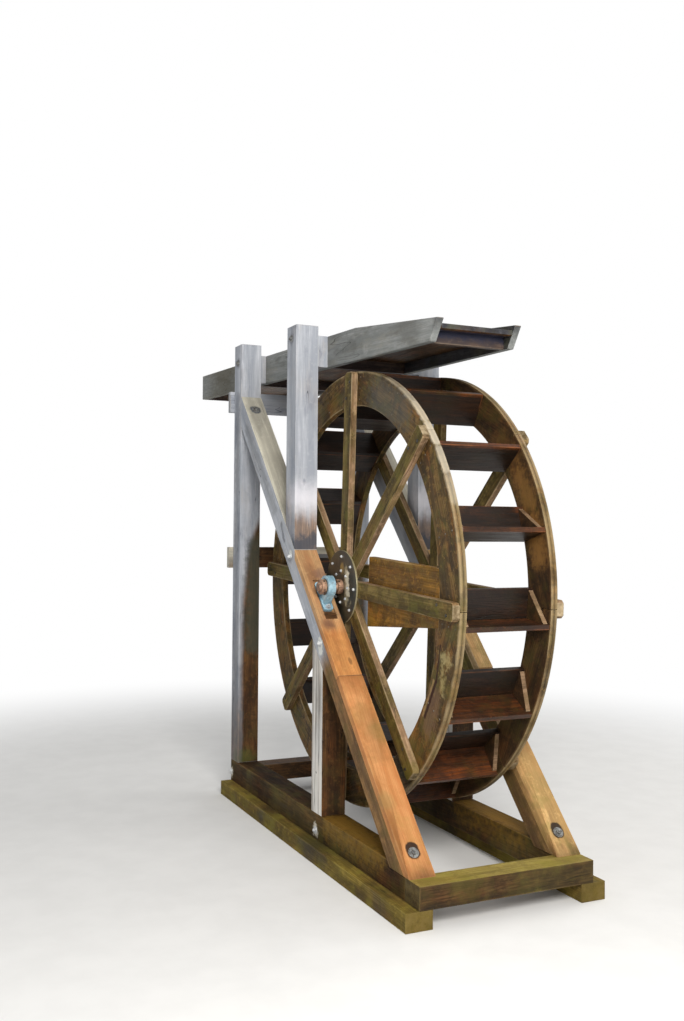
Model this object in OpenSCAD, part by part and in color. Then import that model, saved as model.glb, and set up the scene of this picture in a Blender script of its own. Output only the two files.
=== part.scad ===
// Overshot garden water wheel on a timber frame, with the flume that feeds it.
// Millimetres. X is the way the water runs, Y lies along the axle and Z is up.
// The near side has negative Y, and the far side mirrors it.
// The origin lies on the ground, under the middle of the whole assembly.
// Most modules draw about the middle of the axle, and at_axle() puts them in place.

/* [Wheel] */
// Diameter over the rims
wheel_d = 2400; // [2000:10:2700]
// Width over the outer faces of the two rings
wheel_w = 540; // [440:5:700]
// Radial width of a ring
ring_w = 190; // [150:5:240]
// Thickness of a ring
ring_t = 38; // [25:1:55]
// Gap between the ends of two ring segments, hidden behind a spoke
segment_gap = 2; // [0.5:0.5:6]
// How far the first spoke is turned past upright at rest, in degrees
rest_angle = 2.7; // [0:0.1:8]
// How far the spokes and paddles stop short of the rim
rim_reveal = 3; // [1:1:12]

/* [Spokes] */
// Number of spokes on each side, and of ring segments behind them
spoke_n = 8; // [6:1:9]
// Width of a spoke
spoke_w = 89; // [64:1:110]
// Thickness of a spoke
spoke_t = 38; // [25:1:50]
// Distance from the axis to the cut root of a spoke
spoke_root = 62; // [50:1:75]
// Gap between the wedge-cut flanks of two neighbouring spokes
spoke_gap = 3; // [1:0.5:8]
// Corner cut off the outer end of a spoke
spoke_chamfer = 14; // [4:1:22]

/* [Hub] */
// Diameter of the axle
shaft_d = 50; // [35:1:60]
// How far the axle runs out past the middle of a bearing
shaft_past = 62; // [52:1:90]
// Diameter of a hub disc
disc_d = 406; // [340:2:480]
// Thickness of a hub disc
disc_t = 10; // [6:1:16]
// Radial fit of the disc, boss and collar on the axle
hub_fit = 0.05; // [0.02:0.01:0.09]
// Wall of the boss that grips the axle outside a hub disc
boss_wall = 15; // [8:1:22]
// Length of a boss
boss_l = 30; // [16:1:36]
// Wall of the locking collar outside a bearing
collar_wall = 17; // [8:1:22]
// Length of a locking collar
collar_l = 26; // [14:1:30]
// Running gap between a locking collar and its bearing
collar_gap = 2; // [1:0.5:5]

/* [Buckets] */
// Number of buckets
bucket_n = 16; // [12:1:18]
// Turn from the first spoke to the first paddle, in degrees
bucket_lead = 4; // [0:0.5:10]
// Thickness of a paddle
paddle_t = 25; // [18:1:32]
// How far the paddles and soles are set out from the inner edge of the rings
paddle_set = 3; // [1:1:10]
// Width of a sole board, which closes a bucket towards the axle
sole_w = 150; // [110:5:180]
// Thickness of a sole board
sole_t = 25; // [18:1:32]
// Leg of the triangular gusset at each end of a bucket
gusset_leg = 140; // [80:5:145]
// Thickness of a gusset
gusset_t = 25; // [18:1:38]

/* [Web plank] */
// Upper edge of the stiffening plank, above the middle of its spoke
web_above = 186; // [120:1:220]
// Lower edge at the ring, below the middle of its spoke
web_below_ring = 98; // [70:1:150]
// Lower edge at the hub, below the middle of its spoke
web_below_hub = 192; // [120:1:220]
// Gap between the hub disc and the inner end of the plank
web_disc_gap = 46; // [10:1:90]
// Thickness of the plank
web_t = 38; // [20:1:38]
// Gap left between the plank and the inner edge of the ring
web_fit = 0.3; // [0.1:0.1:2]

/* [Timber] */
// Side of the square timber of the sills, posts and braces
timber = 140; // [120:1:160]
// Gap left in a joint where two sloping or turned faces meet
seat_gap = 0.1; // [0.05:0.05:0.5]
// Clear space between the spokes and the frame
frame_gap = 30; // [22:1:60]
// Clear space between the rim and the rear posts
post_gap = 68; // [40:1:140]
// Height of the lowest point of the rim above the sills
sill_gap = 33; // [15:1:120]
// Depth of the housing cut in a sill for the foot of the brace
notch_d = 32; // [15:1:50]
// How far the foot of the strut plank bears on the front cross sill
toe_lap = 42; // [20:1:70]
// Height of the bearers under the sills
bearer_h = 89; // [60:1:140]
// Width of the bearers
bearer_w = 140; // [120:1:200]
// How far the bearers project outside the sills
bearer_out = 70; // [20:1:90]
// Thickness of the rails behind the rear posts
rail_t = 38; // [25:1:50]
// Height of the rails
rail_h = 140; // [90:1:180]
// How far the rails run past the outer faces of the posts
rail_past = 30; // [0:1:60]
// Gap between the flume and the top rail
rail_drop = 57; // [20:1:120]
// Underside of the middle rail above the axle
rail_mid_up = 54; // [0:1:150]

/* [Posts] */
// Distance of the middle of the front posts behind the axle
front_post_back = 371; // [330:1:480]
// Distance of the middle of the prop posts in front of the axle
prop_ahead = 50; // [0:1:200]
// How far the rear posts stand above the flume boards
rear_post_rise = 67; // [20:1:150]
// How far the front posts stand above the flume boards
front_post_rise = 54; // [20:1:150]

/* [Brace] */
// Slope of the braces below level, in degrees
brace_angle = 46; // [42:0.5:50]
// Thickness of the new planks let into the upper face of a brace
plank_t = 38; // [25:1:50]
// Distance down the slope from the axle to the butt joint of the two planks
butt_s = 548; // [300:1:700]
// Gap in the butt joint
butt_gap = 2; // [1:0.5:5]

/* [Bearings] */
// Distance from the inner face of a brace to the middle of its bearing
bearing_in = 58; // [50:1:72]
// Height of the axle above the underside of a bearing
axle_h = 94; // [86:1:115]
// Outer radius of a bearing housing
housing_r = 62; // [54:1:66]
// Width of a bearing housing along the axle
housing_w = 43; // [34:1:50]
// Length of a bearing's base
base_l = 202; // [180:1:230]
// Width of a bearing's base
base_w = 60; // [52:1:70]
// Thickness of a bearing's base
base_t = 18; // [12:1:22]
// Radius of the corners of a bearing's base, seen from above
base_round = 16; // [2:1:24]
// Radial running fit of the axle in a bearing
run_fit = 0.05; // [0.02:0.01:0.09]
// Depth of the pocket cut in the plank for a bearing's base
pocket_d = 16; // [5:1:20]
// Slack beside a bearing's base in its pocket
pocket_side = 5; // [2:1:8]
// Slack at each end of a bearing's base
pocket_end = 19; // [5:1:30]
// Length of the packing block at the lower end of a pocket
packing_l = 45; // [25:1:60]
// Gap around the packing block
packing_fit = 1; // [0.5:0.5:3]

/* [Flume] */
// Length of the flume behind the axle
flume_back = 2600; // [2200:10:3000]
// Clear height between the rim and the flume, right above the axle
flume_gap = 65; // [20:1:150]
// Fall of the flume below level, in degrees
fall_angle = 1.6; // [0.5:0.1:3]
// Height of the flume's side boards
board_h = 184; // [150:1:230]
// Thickness of the side boards
board_t = 38; // [25:1:50]
// Gap between the outside of a board and the line of the posts, right above the axle
board_gap = 69; // [55:1:90]
// Turn of each side board in towards the nose, in degrees
toe_angle = 1.6; // [0:0.1:1.7]
// Where the top edge of the boards starts to drop, in front of the axle
droop_start = 50; // [0:1:300]
// Reach of the boards' top corner in front of the axle
flume_nose = 927; // [800:1:1100]
// Drop of that corner below the line of the top edge
nose_drop = 74; // [20:1:80]
// How far the boards' end leans back to its bottom corner
nose_rake = 73; // [20:1:120]
// How far the floor stops short of the boards' top corner
lip_back = 21; // [15:1:60]
// Depth of the floor below the top edge of the boards
floor_down = 97; // [90:1:120]
// Thickness of the floor
floor_t = 25; // [18:1:30]
// Number of cleats across the underside of the floor
cleat_n = 4; // [2:1:6]
// Thickness of a cleat
cleat_t = 38; // [25:1:50]
// Distance from the lip of the floor back to the front cleat
cleat_lip = 83; // [75:1:160]

/* [Hidden] */

// Sides that a mirrored piece can stand on
near = false;
far = true;

// Facets drawn on round surfaces
$fn = 96;

// Overrun of a cutting or bounding shape past the piece it shapes
overrun = 1;

// Wheel, measured from the axle
ring_out = wheel_d / 2;
ring_in = ring_out - ring_w;
ring_face = wheel_w / 2;
ring_back = ring_face - ring_t;
spoke_face = ring_face + spoke_t;
spoke_pitch = 360 / spoke_n;
spoke_end = ring_out - rim_reveal;
disc_back = spoke_face + seat_gap;
disc_face = disc_back + disc_t;
bucket_floor = ring_in + paddle_set;
web_in = disc_d / 2 + web_disc_gap;

// Frame, measured from the axle
frame_in = spoke_face + frame_gap;
frame_out = frame_in + timber;
bearing_y = frame_in + bearing_in;
flume_w = 2 * (frame_in - board_gap);
shaft_end = bearing_y + shaft_past;
brace_face = axle_h - pocket_d;
brace_under = brace_face + timber;
rebate_face = brace_face + plank_t + seat_gap;
notch_front = brace_face - seat_gap;
notch_rear = brace_under + seat_gap;
flume_top = ring_out + flume_gap + board_h;
sill_z = -ring_out - sill_gap;
sill_foot = sill_z - timber;
foot_z = sill_z - notch_d;
ground_z = sill_foot - bearer_h;
post_front = -ring_out - post_gap;
post_rear = post_front - timber;
front_post_rear = -front_post_back - timber / 2;
front_post_front = -front_post_back + timber / 2;
sill_front = line_x(brace_face, foot_z) - toe_lap;
frame_front = sill_front + timber;
rail_half = frame_out + rail_past;
rail_top_z = board_bottom(post_rear) - rail_drop;

// Flume floor, measured from the axle
lip_x = flume_nose - lip_back;
cleat_front = lip_x - cleat_lip - cleat_t;
cleat_pitch = (cleat_front + flume_back) / (cleat_n - 1);

// Place of the axle above the origin
shaft_x = (flume_back - frame_front) / 2;
shaft_z = -ground_z;

// Pocket in the bearing plank, along the slope from the axle
pocket_top = -base_l / 2 - pocket_end;
pocket_foot = base_l / 2 + pocket_end + packing_l;

// Finishes
grey_wood = "#8f8a82";
wet_wood = "#5b3f2c";
fresh_wood = "#b8612c";
wheel_wood = "#57492a";
bucket_wood = "#3e2a1c";
moss_wood = "#6b6a35";
rust = "#8a5a3a";
dark_steel = "#35302c";
housing_blue = "#5f9dbd";

// Height of the line that lies d under the axle, square to the slope
function line_z(d, x) = (-d - x * sin(brace_angle)) / cos(brace_angle);
function line_x(d, z) = (-d - z * cos(brace_angle)) / sin(brace_angle);
// Point s down the slope and d under the axle
function slope_point(s, d) = [
    s * cos(brace_angle) - d * sin(brace_angle),
    -s * sin(brace_angle) - d * cos(brace_angle)
];
// Edges of the flume's boards and its floor along their length
function board_top(x) = flume_top - x * tan(fall_angle);
function board_bottom(x) = board_top(x) - board_h;
function floor_top(x) = board_top(x) - floor_down;
function flume_half(x) = flume_w / 2 - x * tan(toe_angle);
function flume_bed(x) = flume_half(x) - board_t;
function flume_fill(x) = flume_bed(x) - seat_gap;

module at_axle() {
    translate([shaft_x, 0, shaft_z]) children();
}

module on_side(other) {
    if (other) mirror([0, 1, 0]) children();
    else children();
}

// Box between two corners
module timber_box(low, high) {
    translate(low) cube(high - low);
}

// Outline in X and Z drawn out along Y from y0 to y1
module slab(y0, y1) {
    translate([0, y1, 0]) rotate([90, 0, 0]) linear_extrude(height = y1 - y0) children();
}

// Outline in X and Y drawn up through the whole height of the flume
module flume_plan(points) {
    translate([0, 0, board_bottom(flume_nose) - overrun])
        linear_extrude(height = board_top(-flume_back) - board_bottom(flume_nose) + 2 * overrun)
            polygon(points);
}

// Round bar or collar about the axle, from y0 to y1
module turned(y0, y1, d, bore = 0) {
    slab(y0, y1) difference() {
        circle(d = d);
        if (bore > 0) circle(d = bore);
    }
}

// Copies turned about the axle, the first one at the given angle past upright
module around(count, start) {
    for (k = [0 : count - 1]) rotate([0, start + k * 360 / count, 0]) children();
}

// Square timber under the posts, housed at its front end for the foot of the brace
module sill(other) {
    color(wet_wood) at_axle() on_side(other) difference() {
        timber_box([post_rear, -frame_out, sill_foot], [sill_front, -frame_in, sill_z]);
        slab(-frame_out - overrun, -frame_in + overrun) polygon([
            [line_x(notch_front, foot_z), foot_z],
            [line_x(notch_rear, foot_z), foot_z],
            [line_x(notch_rear, sill_z + notch_d), sill_z + notch_d],
            [line_x(notch_front, sill_z + notch_d), sill_z + notch_d]
        ]);
    }
}

// Flat timber that lies on the ground under a sill and shows as a ledge outside it
module bearer(other) {
    color(moss_wood) at_axle() on_side(other)
        timber_box([post_rear, -frame_out - bearer_out, ground_z],
            [frame_front, -frame_out - bearer_out + bearer_w, sill_foot]);
}

module cross_sill_front() {
    color(wet_wood) at_axle()
        timber_box([sill_front, -frame_out, sill_foot], [frame_front, frame_out, foot_z]);
}

module cross_sill_rear() {
    color(wet_wood) at_axle()
        timber_box([post_rear, -frame_in, sill_foot], [post_front, frame_in, foot_z]);
}

module rear_post(other) {
    color(grey_wood) at_axle() on_side(other)
        timber_box([post_rear, -frame_out, sill_z],
            [post_front, -frame_in, board_top((post_rear + post_front) / 2) + rear_post_rise]);
}

// Post whose foot is cut to sit on the slope of the brace
module front_post(other) {
    head_z = board_top(-front_post_back) + front_post_rise;
    color(grey_wood) at_axle() on_side(other) slab(-frame_out, -frame_in) polygon([
        [front_post_rear, line_z(notch_front, front_post_rear)],
        [front_post_front, line_z(notch_front, front_post_front)],
        [front_post_front, head_z],
        [front_post_rear, head_z]
    ]);
}

// Post under the brace, its head cut to the brace's underside
module prop_post(other) {
    rear = prop_ahead - timber / 2;
    front = prop_ahead + timber / 2;
    color(wet_wood) at_axle() on_side(other) slab(-frame_out, -frame_in) polygon([
        [rear, sill_z],
        [front, sill_z],
        [front, line_z(notch_rear, front)],
        [rear, line_z(notch_rear, rear)]
    ]);
}

// Sloping timber from the rear post to the ground, rebated below the front post
module brace(other) {
    color(grey_wood) at_axle() on_side(other) slab(-frame_out, -frame_in) polygon([
        [post_front, line_z(brace_face, post_front)],
        [front_post_front, line_z(brace_face, front_post_front)],
        [front_post_front, line_z(rebate_face, front_post_front)],
        [line_x(rebate_face, foot_z), foot_z],
        [line_x(brace_under, foot_z), foot_z],
        [post_front, line_z(brace_under, post_front)]
    ]);
}

// Plank let into the brace that carries the bearing in a shallow pocket
module bearing_plank(other) {
    end_x = front_post_front + seat_gap;
    color(fresh_wood) at_axle() on_side(other) difference() {
        slab(-frame_out, -frame_in) polygon([
            [end_x, line_z(brace_face, end_x)],
            slope_point(butt_s, brace_face),
            slope_point(butt_s, brace_face + plank_t),
            [end_x, line_z(brace_face + plank_t, end_x)]
        ]);
        rotate([0, brace_angle, 0])
            timber_box([pocket_top, -bearing_y - base_w / 2 - pocket_side, -axle_h],
                [pocket_foot, -bearing_y + base_w / 2 + pocket_side, 0]);
    }
}

// Plank below it that runs down to the foot
module strut_plank(other) {
    color(fresh_wood) at_axle() on_side(other) slab(-frame_out, -frame_in) polygon([
        slope_point(butt_s + butt_gap, brace_face),
        [line_x(brace_face, foot_z), foot_z],
        [line_x(brace_face + plank_t, foot_z), foot_z],
        slope_point(butt_s + butt_gap, brace_face + plank_t)
    ]);
}

// Small block that fills the lower end of a bearing's pocket
module packing(other) {
    half_w = base_w / 2 + pocket_side - packing_fit;
    color(fresh_wood) at_axle() on_side(other) rotate([0, brace_angle, 0])
        timber_box([pocket_foot - packing_l, -bearing_y - half_w, -axle_h],
            [pocket_foot - packing_fit, -bearing_y + half_w, -brace_face]);
}

// Base of a bearing seen from above, with rounded corners
module bearing_base_plan() {
    end_x = base_l / 2 - base_round;
    end_y = base_w / 2 - base_round;
    square([base_l, 2 * end_y], center = true);
    square([2 * end_x, base_w], center = true);
    for (x = [-end_x, end_x]) for (y = [-end_y, end_y]) translate([x, y]) circle(r = base_round);
}

// Pillow block on the slope of the brace: a round housing on a flat base
module bearing(other) {
    shoulder = housing_r * 0.93;
    color(housing_blue) at_axle() on_side(other) rotate([0, brace_angle, 0])
        difference() {
            union() {
                translate([0, -bearing_y, -axle_h]) linear_extrude(height = base_t)
                    bearing_base_plan();
                slab(-bearing_y - housing_w / 2, -bearing_y + housing_w / 2) {
                    circle(r = housing_r);
                    polygon([
                        [-housing_r, base_t - axle_h - overrun],
                        [housing_r, base_t - axle_h - overrun],
                        [shoulder, -housing_r / 4],
                        [-shoulder, -housing_r / 4]
                    ]);
                }
            }
            turned(-frame_out, -frame_in, shaft_d + 2 * run_fit);
        }
}

module rail(low_z) {
    color(grey_wood) at_axle()
        timber_box([post_rear - rail_t, -rail_half, low_z], [post_rear, rail_half, low_z + rail_h]);
}

// Side board of the flume, with a drooping, raked front end
module flume_side(other) {
    color(grey_wood) at_axle() on_side(other) intersection() {
        slab(-flume_w, 0) polygon([
            [-flume_back, board_bottom(-flume_back)],
            [flume_nose - nose_rake, board_bottom(flume_nose - nose_rake)],
            [flume_nose, board_top(flume_nose) - nose_drop],
            [droop_start, board_top(droop_start)],
            [-flume_back, board_top(-flume_back)]
        ]);
        flume_plan([
            [-flume_back, -flume_half(-flume_back)],
            [flume_nose, -flume_half(flume_nose)],
            [flume_nose, -flume_bed(flume_nose)],
            [-flume_back, -flume_bed(-flume_back)]
        ]);
    }
}

// Space between the inner faces of the side boards, from x0 to x1
module flume_bed_plan(x0, x1) {
    flume_plan([
        [x0, -flume_fill(x0)],
        [x1, -flume_fill(x1)],
        [x1, flume_fill(x1)],
        [x0, flume_fill(x0)]
    ]);
}

module flume_floor() {
    color(wet_wood) at_axle() intersection() {
        slab(-flume_w, flume_w) polygon([
            [-flume_back, floor_top(-flume_back) - floor_t],
            [lip_x, floor_top(lip_x) - floor_t],
            [lip_x, floor_top(lip_x)],
            [-flume_back, floor_top(-flume_back)]
        ]);
        flume_bed_plan(-flume_back, lip_x);
    }
}

// Cleats that carry the floor, from the lip back to the rear end
module flume_cleats() {
    color(grey_wood) at_axle() for (k = [0 : cleat_n - 1]) {
        x0 = cleat_front - k * cleat_pitch;
        x1 = x0 + cleat_t;
        intersection() {
            slab(-flume_w, flume_w) polygon([
                [x0, board_bottom(x0)],
                [x1, board_bottom(x1)],
                [x1, floor_top(x1) - floor_t - seat_gap],
                [x0, floor_top(x0) - floor_t - seat_gap]
            ]);
            flume_bed_plan(x0, x1);
        }
    }
}

// Blocks that fill the tapering gap between the posts and a side board
module flume_blocks(other) {
    color(grey_wood) at_axle() on_side(other)
        for (x0 = [post_rear, front_post_rear]) {
            x1 = x0 + timber;
            intersection() {
                slab(-frame_in, 0) polygon([
                    [x0, board_bottom(x0)],
                    [x1, board_bottom(x1)],
                    [x1, board_top(x1)],
                    [x0, board_top(x0)]
                ]);
                flume_plan([
                    [x0, -frame_in],
                    [x1, -frame_in],
                    [x1, -flume_half(x1) - seat_gap],
                    [x0, -flume_half(x0) - seat_gap]
                ]);
            }
        }
}

module axle() {
    color(rust) at_axle() turned(-shaft_end, shaft_end, shaft_d);
}

module boss(other) {
    color(rust) at_axle() on_side(other)
        turned(-disc_face - boss_l, -disc_face, shaft_d + 2 * boss_wall, shaft_d + 2 * hub_fit);
}

module lock_collar(other) {
    inner_y = bearing_y + housing_w / 2 + collar_gap;
    color(rust) at_axle() on_side(other)
        turned(-inner_y - collar_l, -inner_y, shaft_d + 2 * collar_wall, shaft_d + 2 * hub_fit);
}

module hub_disc(other) {
    color(dark_steel) at_axle() on_side(other)
        turned(-disc_face, -disc_back, disc_d, shaft_d + 2 * hub_fit);
}

// Ring of equal segments that butt behind the spokes
module ring(other) {
    half = spoke_pitch / 2;
    reach = ring_out / cos(half) + 1;
    gap_shift = segment_gap / 2 / sin(half);
    color(wheel_wood) at_axle() on_side(other) around(spoke_n, rest_angle + half)
        slab(-ring_face, -ring_back) intersection() {
            difference() {
                circle(r = ring_out);
                circle(r = ring_in);
            }
            translate([0, gap_shift]) polygon([
                [0, 0],
                [reach * sin(half), reach * cos(half)],
                [-reach * sin(half), reach * cos(half)]
            ]);
        }
}

// Spokes lapped over the ring, wedge-cut at the hub and nicked at their outer corners
module spokes(other) {
    half = spoke_pitch / 2;
    edge = spoke_w / 2;
    flank = spoke_gap / 2 / cos(half);
    wide_from = (edge + flank) / tan(half);
    color(wheel_wood) at_axle() on_side(other) around(spoke_n, rest_angle)
        slab(-spoke_face, -ring_face) polygon([
            [spoke_root * tan(half) - flank, spoke_root],
            [edge, wide_from],
            [edge, spoke_end - spoke_chamfer],
            [edge - spoke_chamfer, spoke_end],
            [spoke_chamfer - edge, spoke_end],
            [-edge, spoke_end - spoke_chamfer],
            [-edge, wide_from],
            [flank - spoke_root * tan(half), spoke_root]
        ]);
}

// Plank behind the near spoke that lies level at rest, scribed to the ring
module web_plank() {
    color(wheel_wood) at_axle() rotate([0, rest_angle, 0])
        slab(-ring_face, -ring_face + web_t) intersection() {
            circle(r = ring_in - web_fit);
            polygon([
                [web_in, web_above],
                [ring_in, web_above],
                [ring_in, -web_below_ring],
                [web_in, -web_below_hub]
            ]);
        }
}

// Radial boards between the rings, which carry the water
module paddles() {
    color(bucket_wood) at_axle() around(bucket_n, rest_angle + bucket_lead)
        timber_box([-paddle_t / 2, -ring_back, bucket_floor], [paddle_t / 2, ring_back, spoke_end]);
}

// Boards that close the buckets towards the axle, each behind its paddle
module soles() {
    color(bucket_wood) at_axle() around(bucket_n, rest_angle + bucket_lead)
        timber_box([-paddle_t / 2 - sole_w, -ring_back, bucket_floor],
            [-paddle_t / 2, ring_back, bucket_floor + sole_t]);
}

// Triangles in the corner of sole and paddle, against both rings
module gussets() {
    corner_x = -paddle_t / 2;
    corner_z = bucket_floor + sole_t;
    color(bucket_wood) at_axle() around(bucket_n, rest_angle + bucket_lead)
        for (other = [near, far]) on_side(other)
            slab(-ring_back, -ring_back + gusset_t) polygon([
                [corner_x, corner_z],
                [corner_x - gusset_leg, corner_z],
                [corner_x, corner_z + gusset_leg]
            ]);
}

sill(near);  // sill_near
sill(far);  // sill_far
bearer(near);  // bearer_near
bearer(far);  // bearer_far
cross_sill_front();
cross_sill_rear();
rear_post(near);  // rear_post_near
rear_post(far);  // rear_post_far
front_post(near);  // front_post_near
front_post(far);  // front_post_far
prop_post(near);  // prop_post_near
prop_post(far);  // prop_post_far
brace(near);  // brace_near
brace(far);  // brace_far
bearing_plank(near);  // bearing_plank_near
bearing_plank(far);  // bearing_plank_far
strut_plank(near);  // strut_plank_near
strut_plank(far);  // strut_plank_far
packing(near);  // packing_near
packing(far);  // packing_far
bearing(near);  // bearing_near
bearing(far);  // bearing_far
rail(rail_top_z - rail_h);  // rail_top
rail(rail_mid_up);  // rail_middle
flume_side(near);  // flume_side_near
flume_side(far);  // flume_side_far
flume_floor();
flume_cleats();
flume_blocks(near);  // flume_blocks_near
flume_blocks(far);  // flume_blocks_far
axle();
boss(near);  // boss_near
boss(far);  // boss_far
lock_collar(near);  // lock_collar_near
lock_collar(far);  // lock_collar_far
hub_disc(near);  // hub_disc_near
hub_disc(far);  // hub_disc_far
ring(near);  // ring_near
ring(far);  // ring_far
spokes(near);  // spokes_near
spokes(far);  // spokes_far
web_plank();
paddles();
soles();
gussets();
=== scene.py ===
"""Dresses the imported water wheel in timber, steel and enamel, and adds its bolts, nails and seals."""

import logging
import math
from dataclasses import dataclass, field, replace
from enum import Enum
from functools import cached_property
from typing import Callable, Optional, Union

import bmesh
import bpy
from mathutils import Matrix, Vector


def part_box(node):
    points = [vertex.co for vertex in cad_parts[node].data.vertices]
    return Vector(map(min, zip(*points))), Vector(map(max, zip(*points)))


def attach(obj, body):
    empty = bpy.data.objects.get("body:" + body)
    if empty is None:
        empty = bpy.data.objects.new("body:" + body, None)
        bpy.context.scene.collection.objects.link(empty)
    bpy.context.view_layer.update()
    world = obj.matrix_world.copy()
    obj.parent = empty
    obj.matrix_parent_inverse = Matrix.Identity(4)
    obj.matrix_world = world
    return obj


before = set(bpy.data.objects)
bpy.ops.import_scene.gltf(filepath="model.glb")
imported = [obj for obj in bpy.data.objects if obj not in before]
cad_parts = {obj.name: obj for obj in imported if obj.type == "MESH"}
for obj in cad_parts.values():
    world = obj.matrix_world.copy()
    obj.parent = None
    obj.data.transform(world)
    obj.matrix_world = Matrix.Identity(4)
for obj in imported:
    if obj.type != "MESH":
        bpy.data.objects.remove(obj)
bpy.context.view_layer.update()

LOG = logging.getLogger("water_wheel")

Screen = tuple[int, int, int]
Pair = tuple[float, float]
Triple = tuple[float, float, float]
Socket = bpy.types.NodeSocket
Value = Union[float, Socket]
Paint = Union[Screen, tuple[float, float, float, float], Socket]
Piece = bpy.types.Object

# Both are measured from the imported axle, and places are given from its middle.
AXLE_X = sum(point[0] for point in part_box("axle")) / 2
AXLE_Z = sum(point[2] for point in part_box("axle")) / 2
# Fall of the braces, and turn of the first spoke past upright.
SLOPE = math.radians(46)
REST = math.radians(2.7)
# Distance of the frame's outer face, and of the middle of a brace, from the middle of the axle.
FRAME_FACE = 0.478
BRACE_MIDDLE = 0.408
# Depth of a brace's upper face under the axle, square to the slope.
BRACE_FACE = 0.078
# Distance of the joint between the two layers of a ring from the middle of the axle.
RING_SEAM = 0.251
# Distance of a hub disc's outer face from the middle of the axle.
DISC_FACE = 0.3181
SIDES = (("near", -1), ("far", 1))


def linear(screen: Screen) -> Triple:
    """Turns a colour given as 0 to 255 screen values into linear light."""
    shares = [part / 255 for part in screen]
    return tuple(share / 12.92 if share <= 0.04045 else ((share + 0.055) / 1.055) ** 2.4
                 for share in shares)


def from_axle(x: float, y: float, z: float) -> Vector:
    """Gives the place of a point that is measured from the middle of the axle."""
    return Vector((AXLE_X + x, y, AXLE_Z + z))


def down_slope(along: float, under: float, y: float) -> Vector:
    """Gives a point on the slope of the braces.

    Args:
        along: Distance down the slope from the axle.
        under: Distance under the axle, square to the slope.
        y: Place along the axle.

    Returns:
        The point in the shared frame.
    """
    return from_axle(along * math.cos(SLOPE) - under * math.sin(SLOPE), y,
                     -along * math.sin(SLOPE) - under * math.cos(SLOPE))


def leaning(angle: float) -> Vector:
    """Gives the direction that leans forward from upright by an angle in radians."""
    return Vector((math.sin(angle), 0, math.cos(angle)))


@dataclass(frozen=True)
class TimberFinish:
    """Colours and surface of one kind of timber.

    Colours are screen values, and the other fields run from 0 to 1.

    Attributes:
        light: Colour between the streaks.
        dark: Colour of the streaks, growth rings and fibres.
        stain: Colour of the blotches and knots.
        moss: Colour of the moss.
        edge: Colour of worn arrises.
        warm: Colour of the warm patches.
        warmed: Strength of the warm patches.
        stained: Strength of the blotches.
        mossy: Strength of the moss.
        worn: Strength of the wear on the arrises.
        grain: Strength of the fibres.
        ring_lines: Strength of the growth rings.
        knots: Strength of the knots.
        checks: Strength of the drying cracks.
        mottled: Strength of the small dark spots.
        roughness: Roughness between the fibres.
        gloss: Level of the mirror light.
        relief: Depth of the relief, as a share of the full depth.
    """

    light: Screen
    dark: Screen
    stain: Screen
    moss: Screen = (98, 98, 40)
    edge: Screen = (170, 150, 120)
    warm: Screen = (140, 96, 52)
    warmed: float = 0.0
    stained: float = 0.4
    mossy: float = 0.0
    worn: float = 0.3
    grain: float = 0.6
    ring_lines: float = 0.35
    knots: float = 0.7
    checks: float = 0.5
    mottled: float = 0.2
    roughness: float = 0.72
    gloss: float = 0.2
    relief: float = 0.5


@dataclass(frozen=True)
class MetalFinish:
    """Colours and surface of one kind of metal or paint.

    Attributes:
        light: Lighter screen colour of the metal.
        dark: Darker screen colour of the metal.
        fleck: Screen colour of its spots.
        flecked: How much of it the spots cover, from 0 to 1.
        metallic: Share of metal between the spots.
        roughness: Roughness between the spots.
        scale: How fine the spots are.
        coat: Weight of a clear coat.
    """

    light: Screen
    dark: Screen
    fleck: Screen
    flecked: float = 0.3
    metallic: float = 0.8
    roughness: float = 0.45
    scale: float = 60.0
    coat: float = 0.0


SILVER_GREY = TimberFinish(
    light=(198, 201, 207), dark=(152, 157, 166), stain=(108, 113, 126), edge=(208, 208, 206),
    warm=(178, 170, 162), warmed=0.4, stained=0.5, worn=0.25, grain=0.55, ring_lines=0.3, checks=0.9,
    roughness=0.85)
# Lighter copy of the silver grey for the prop posts: painted sunlight on their weathered grey.
PROP_SUNLIT_GREY = replace(
    SILVER_GREY, light=(244, 242, 236), dark=(208, 207, 203), stain=(146, 144, 143), edge=(246, 244, 236),
    warm=(222, 212, 196), stained=0.4)
WARM_GREY = TimberFinish(
    light=(230, 226, 208), dark=(180, 175, 160), stain=(122, 119, 112), edge=(220, 212, 190),
    stained=0.45, checks=0.7, roughness=0.82)
FLUME_GREY = TimberFinish(
    light=(158, 160, 158), dark=(118, 121, 120), stain=(84, 83, 78), edge=(184, 178, 162),
    warm=(140, 132, 112), warmed=0.4, stained=0.55, worn=0.35, checks=0.8, roughness=0.82)
POST_FOOT = TimberFinish(
    light=(172, 140, 112), dark=(100, 86, 78), stain=(72, 70, 74), edge=(176, 156, 138),
    warm=(188, 144, 104), warmed=0.6, stained=0.5, roughness=0.7)
DAMP_BROWN = TimberFinish(
    light=(116, 80, 44), dark=(50, 34, 20), stain=(26, 21, 17), moss=(74, 66, 34), edge=(126, 98, 66),
    warm=(132, 80, 40), warmed=0.5, stained=0.65, mossy=0.35, worn=0.4, checks=0.6, mottled=0.6,
    roughness=0.55)
BRACE_DAMP = TimberFinish(
    light=(158, 120, 72), dark=(88, 66, 42), stain=(52, 40, 28), moss=(94, 84, 40), edge=(164, 138, 100),
    warm=(154, 104, 56), warmed=0.5, stained=0.6, mossy=0.45, worn=0.4, mottled=0.5, roughness=0.65)
CLEAT_DIM = TimberFinish(
    light=(112, 94, 82), dark=(58, 50, 50), stain=(38, 34, 38), edge=(140, 124, 104), warm=(124, 96, 70),
    warmed=0.5, stained=0.5, worn=0.4, mottled=0.4, roughness=0.6)
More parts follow.
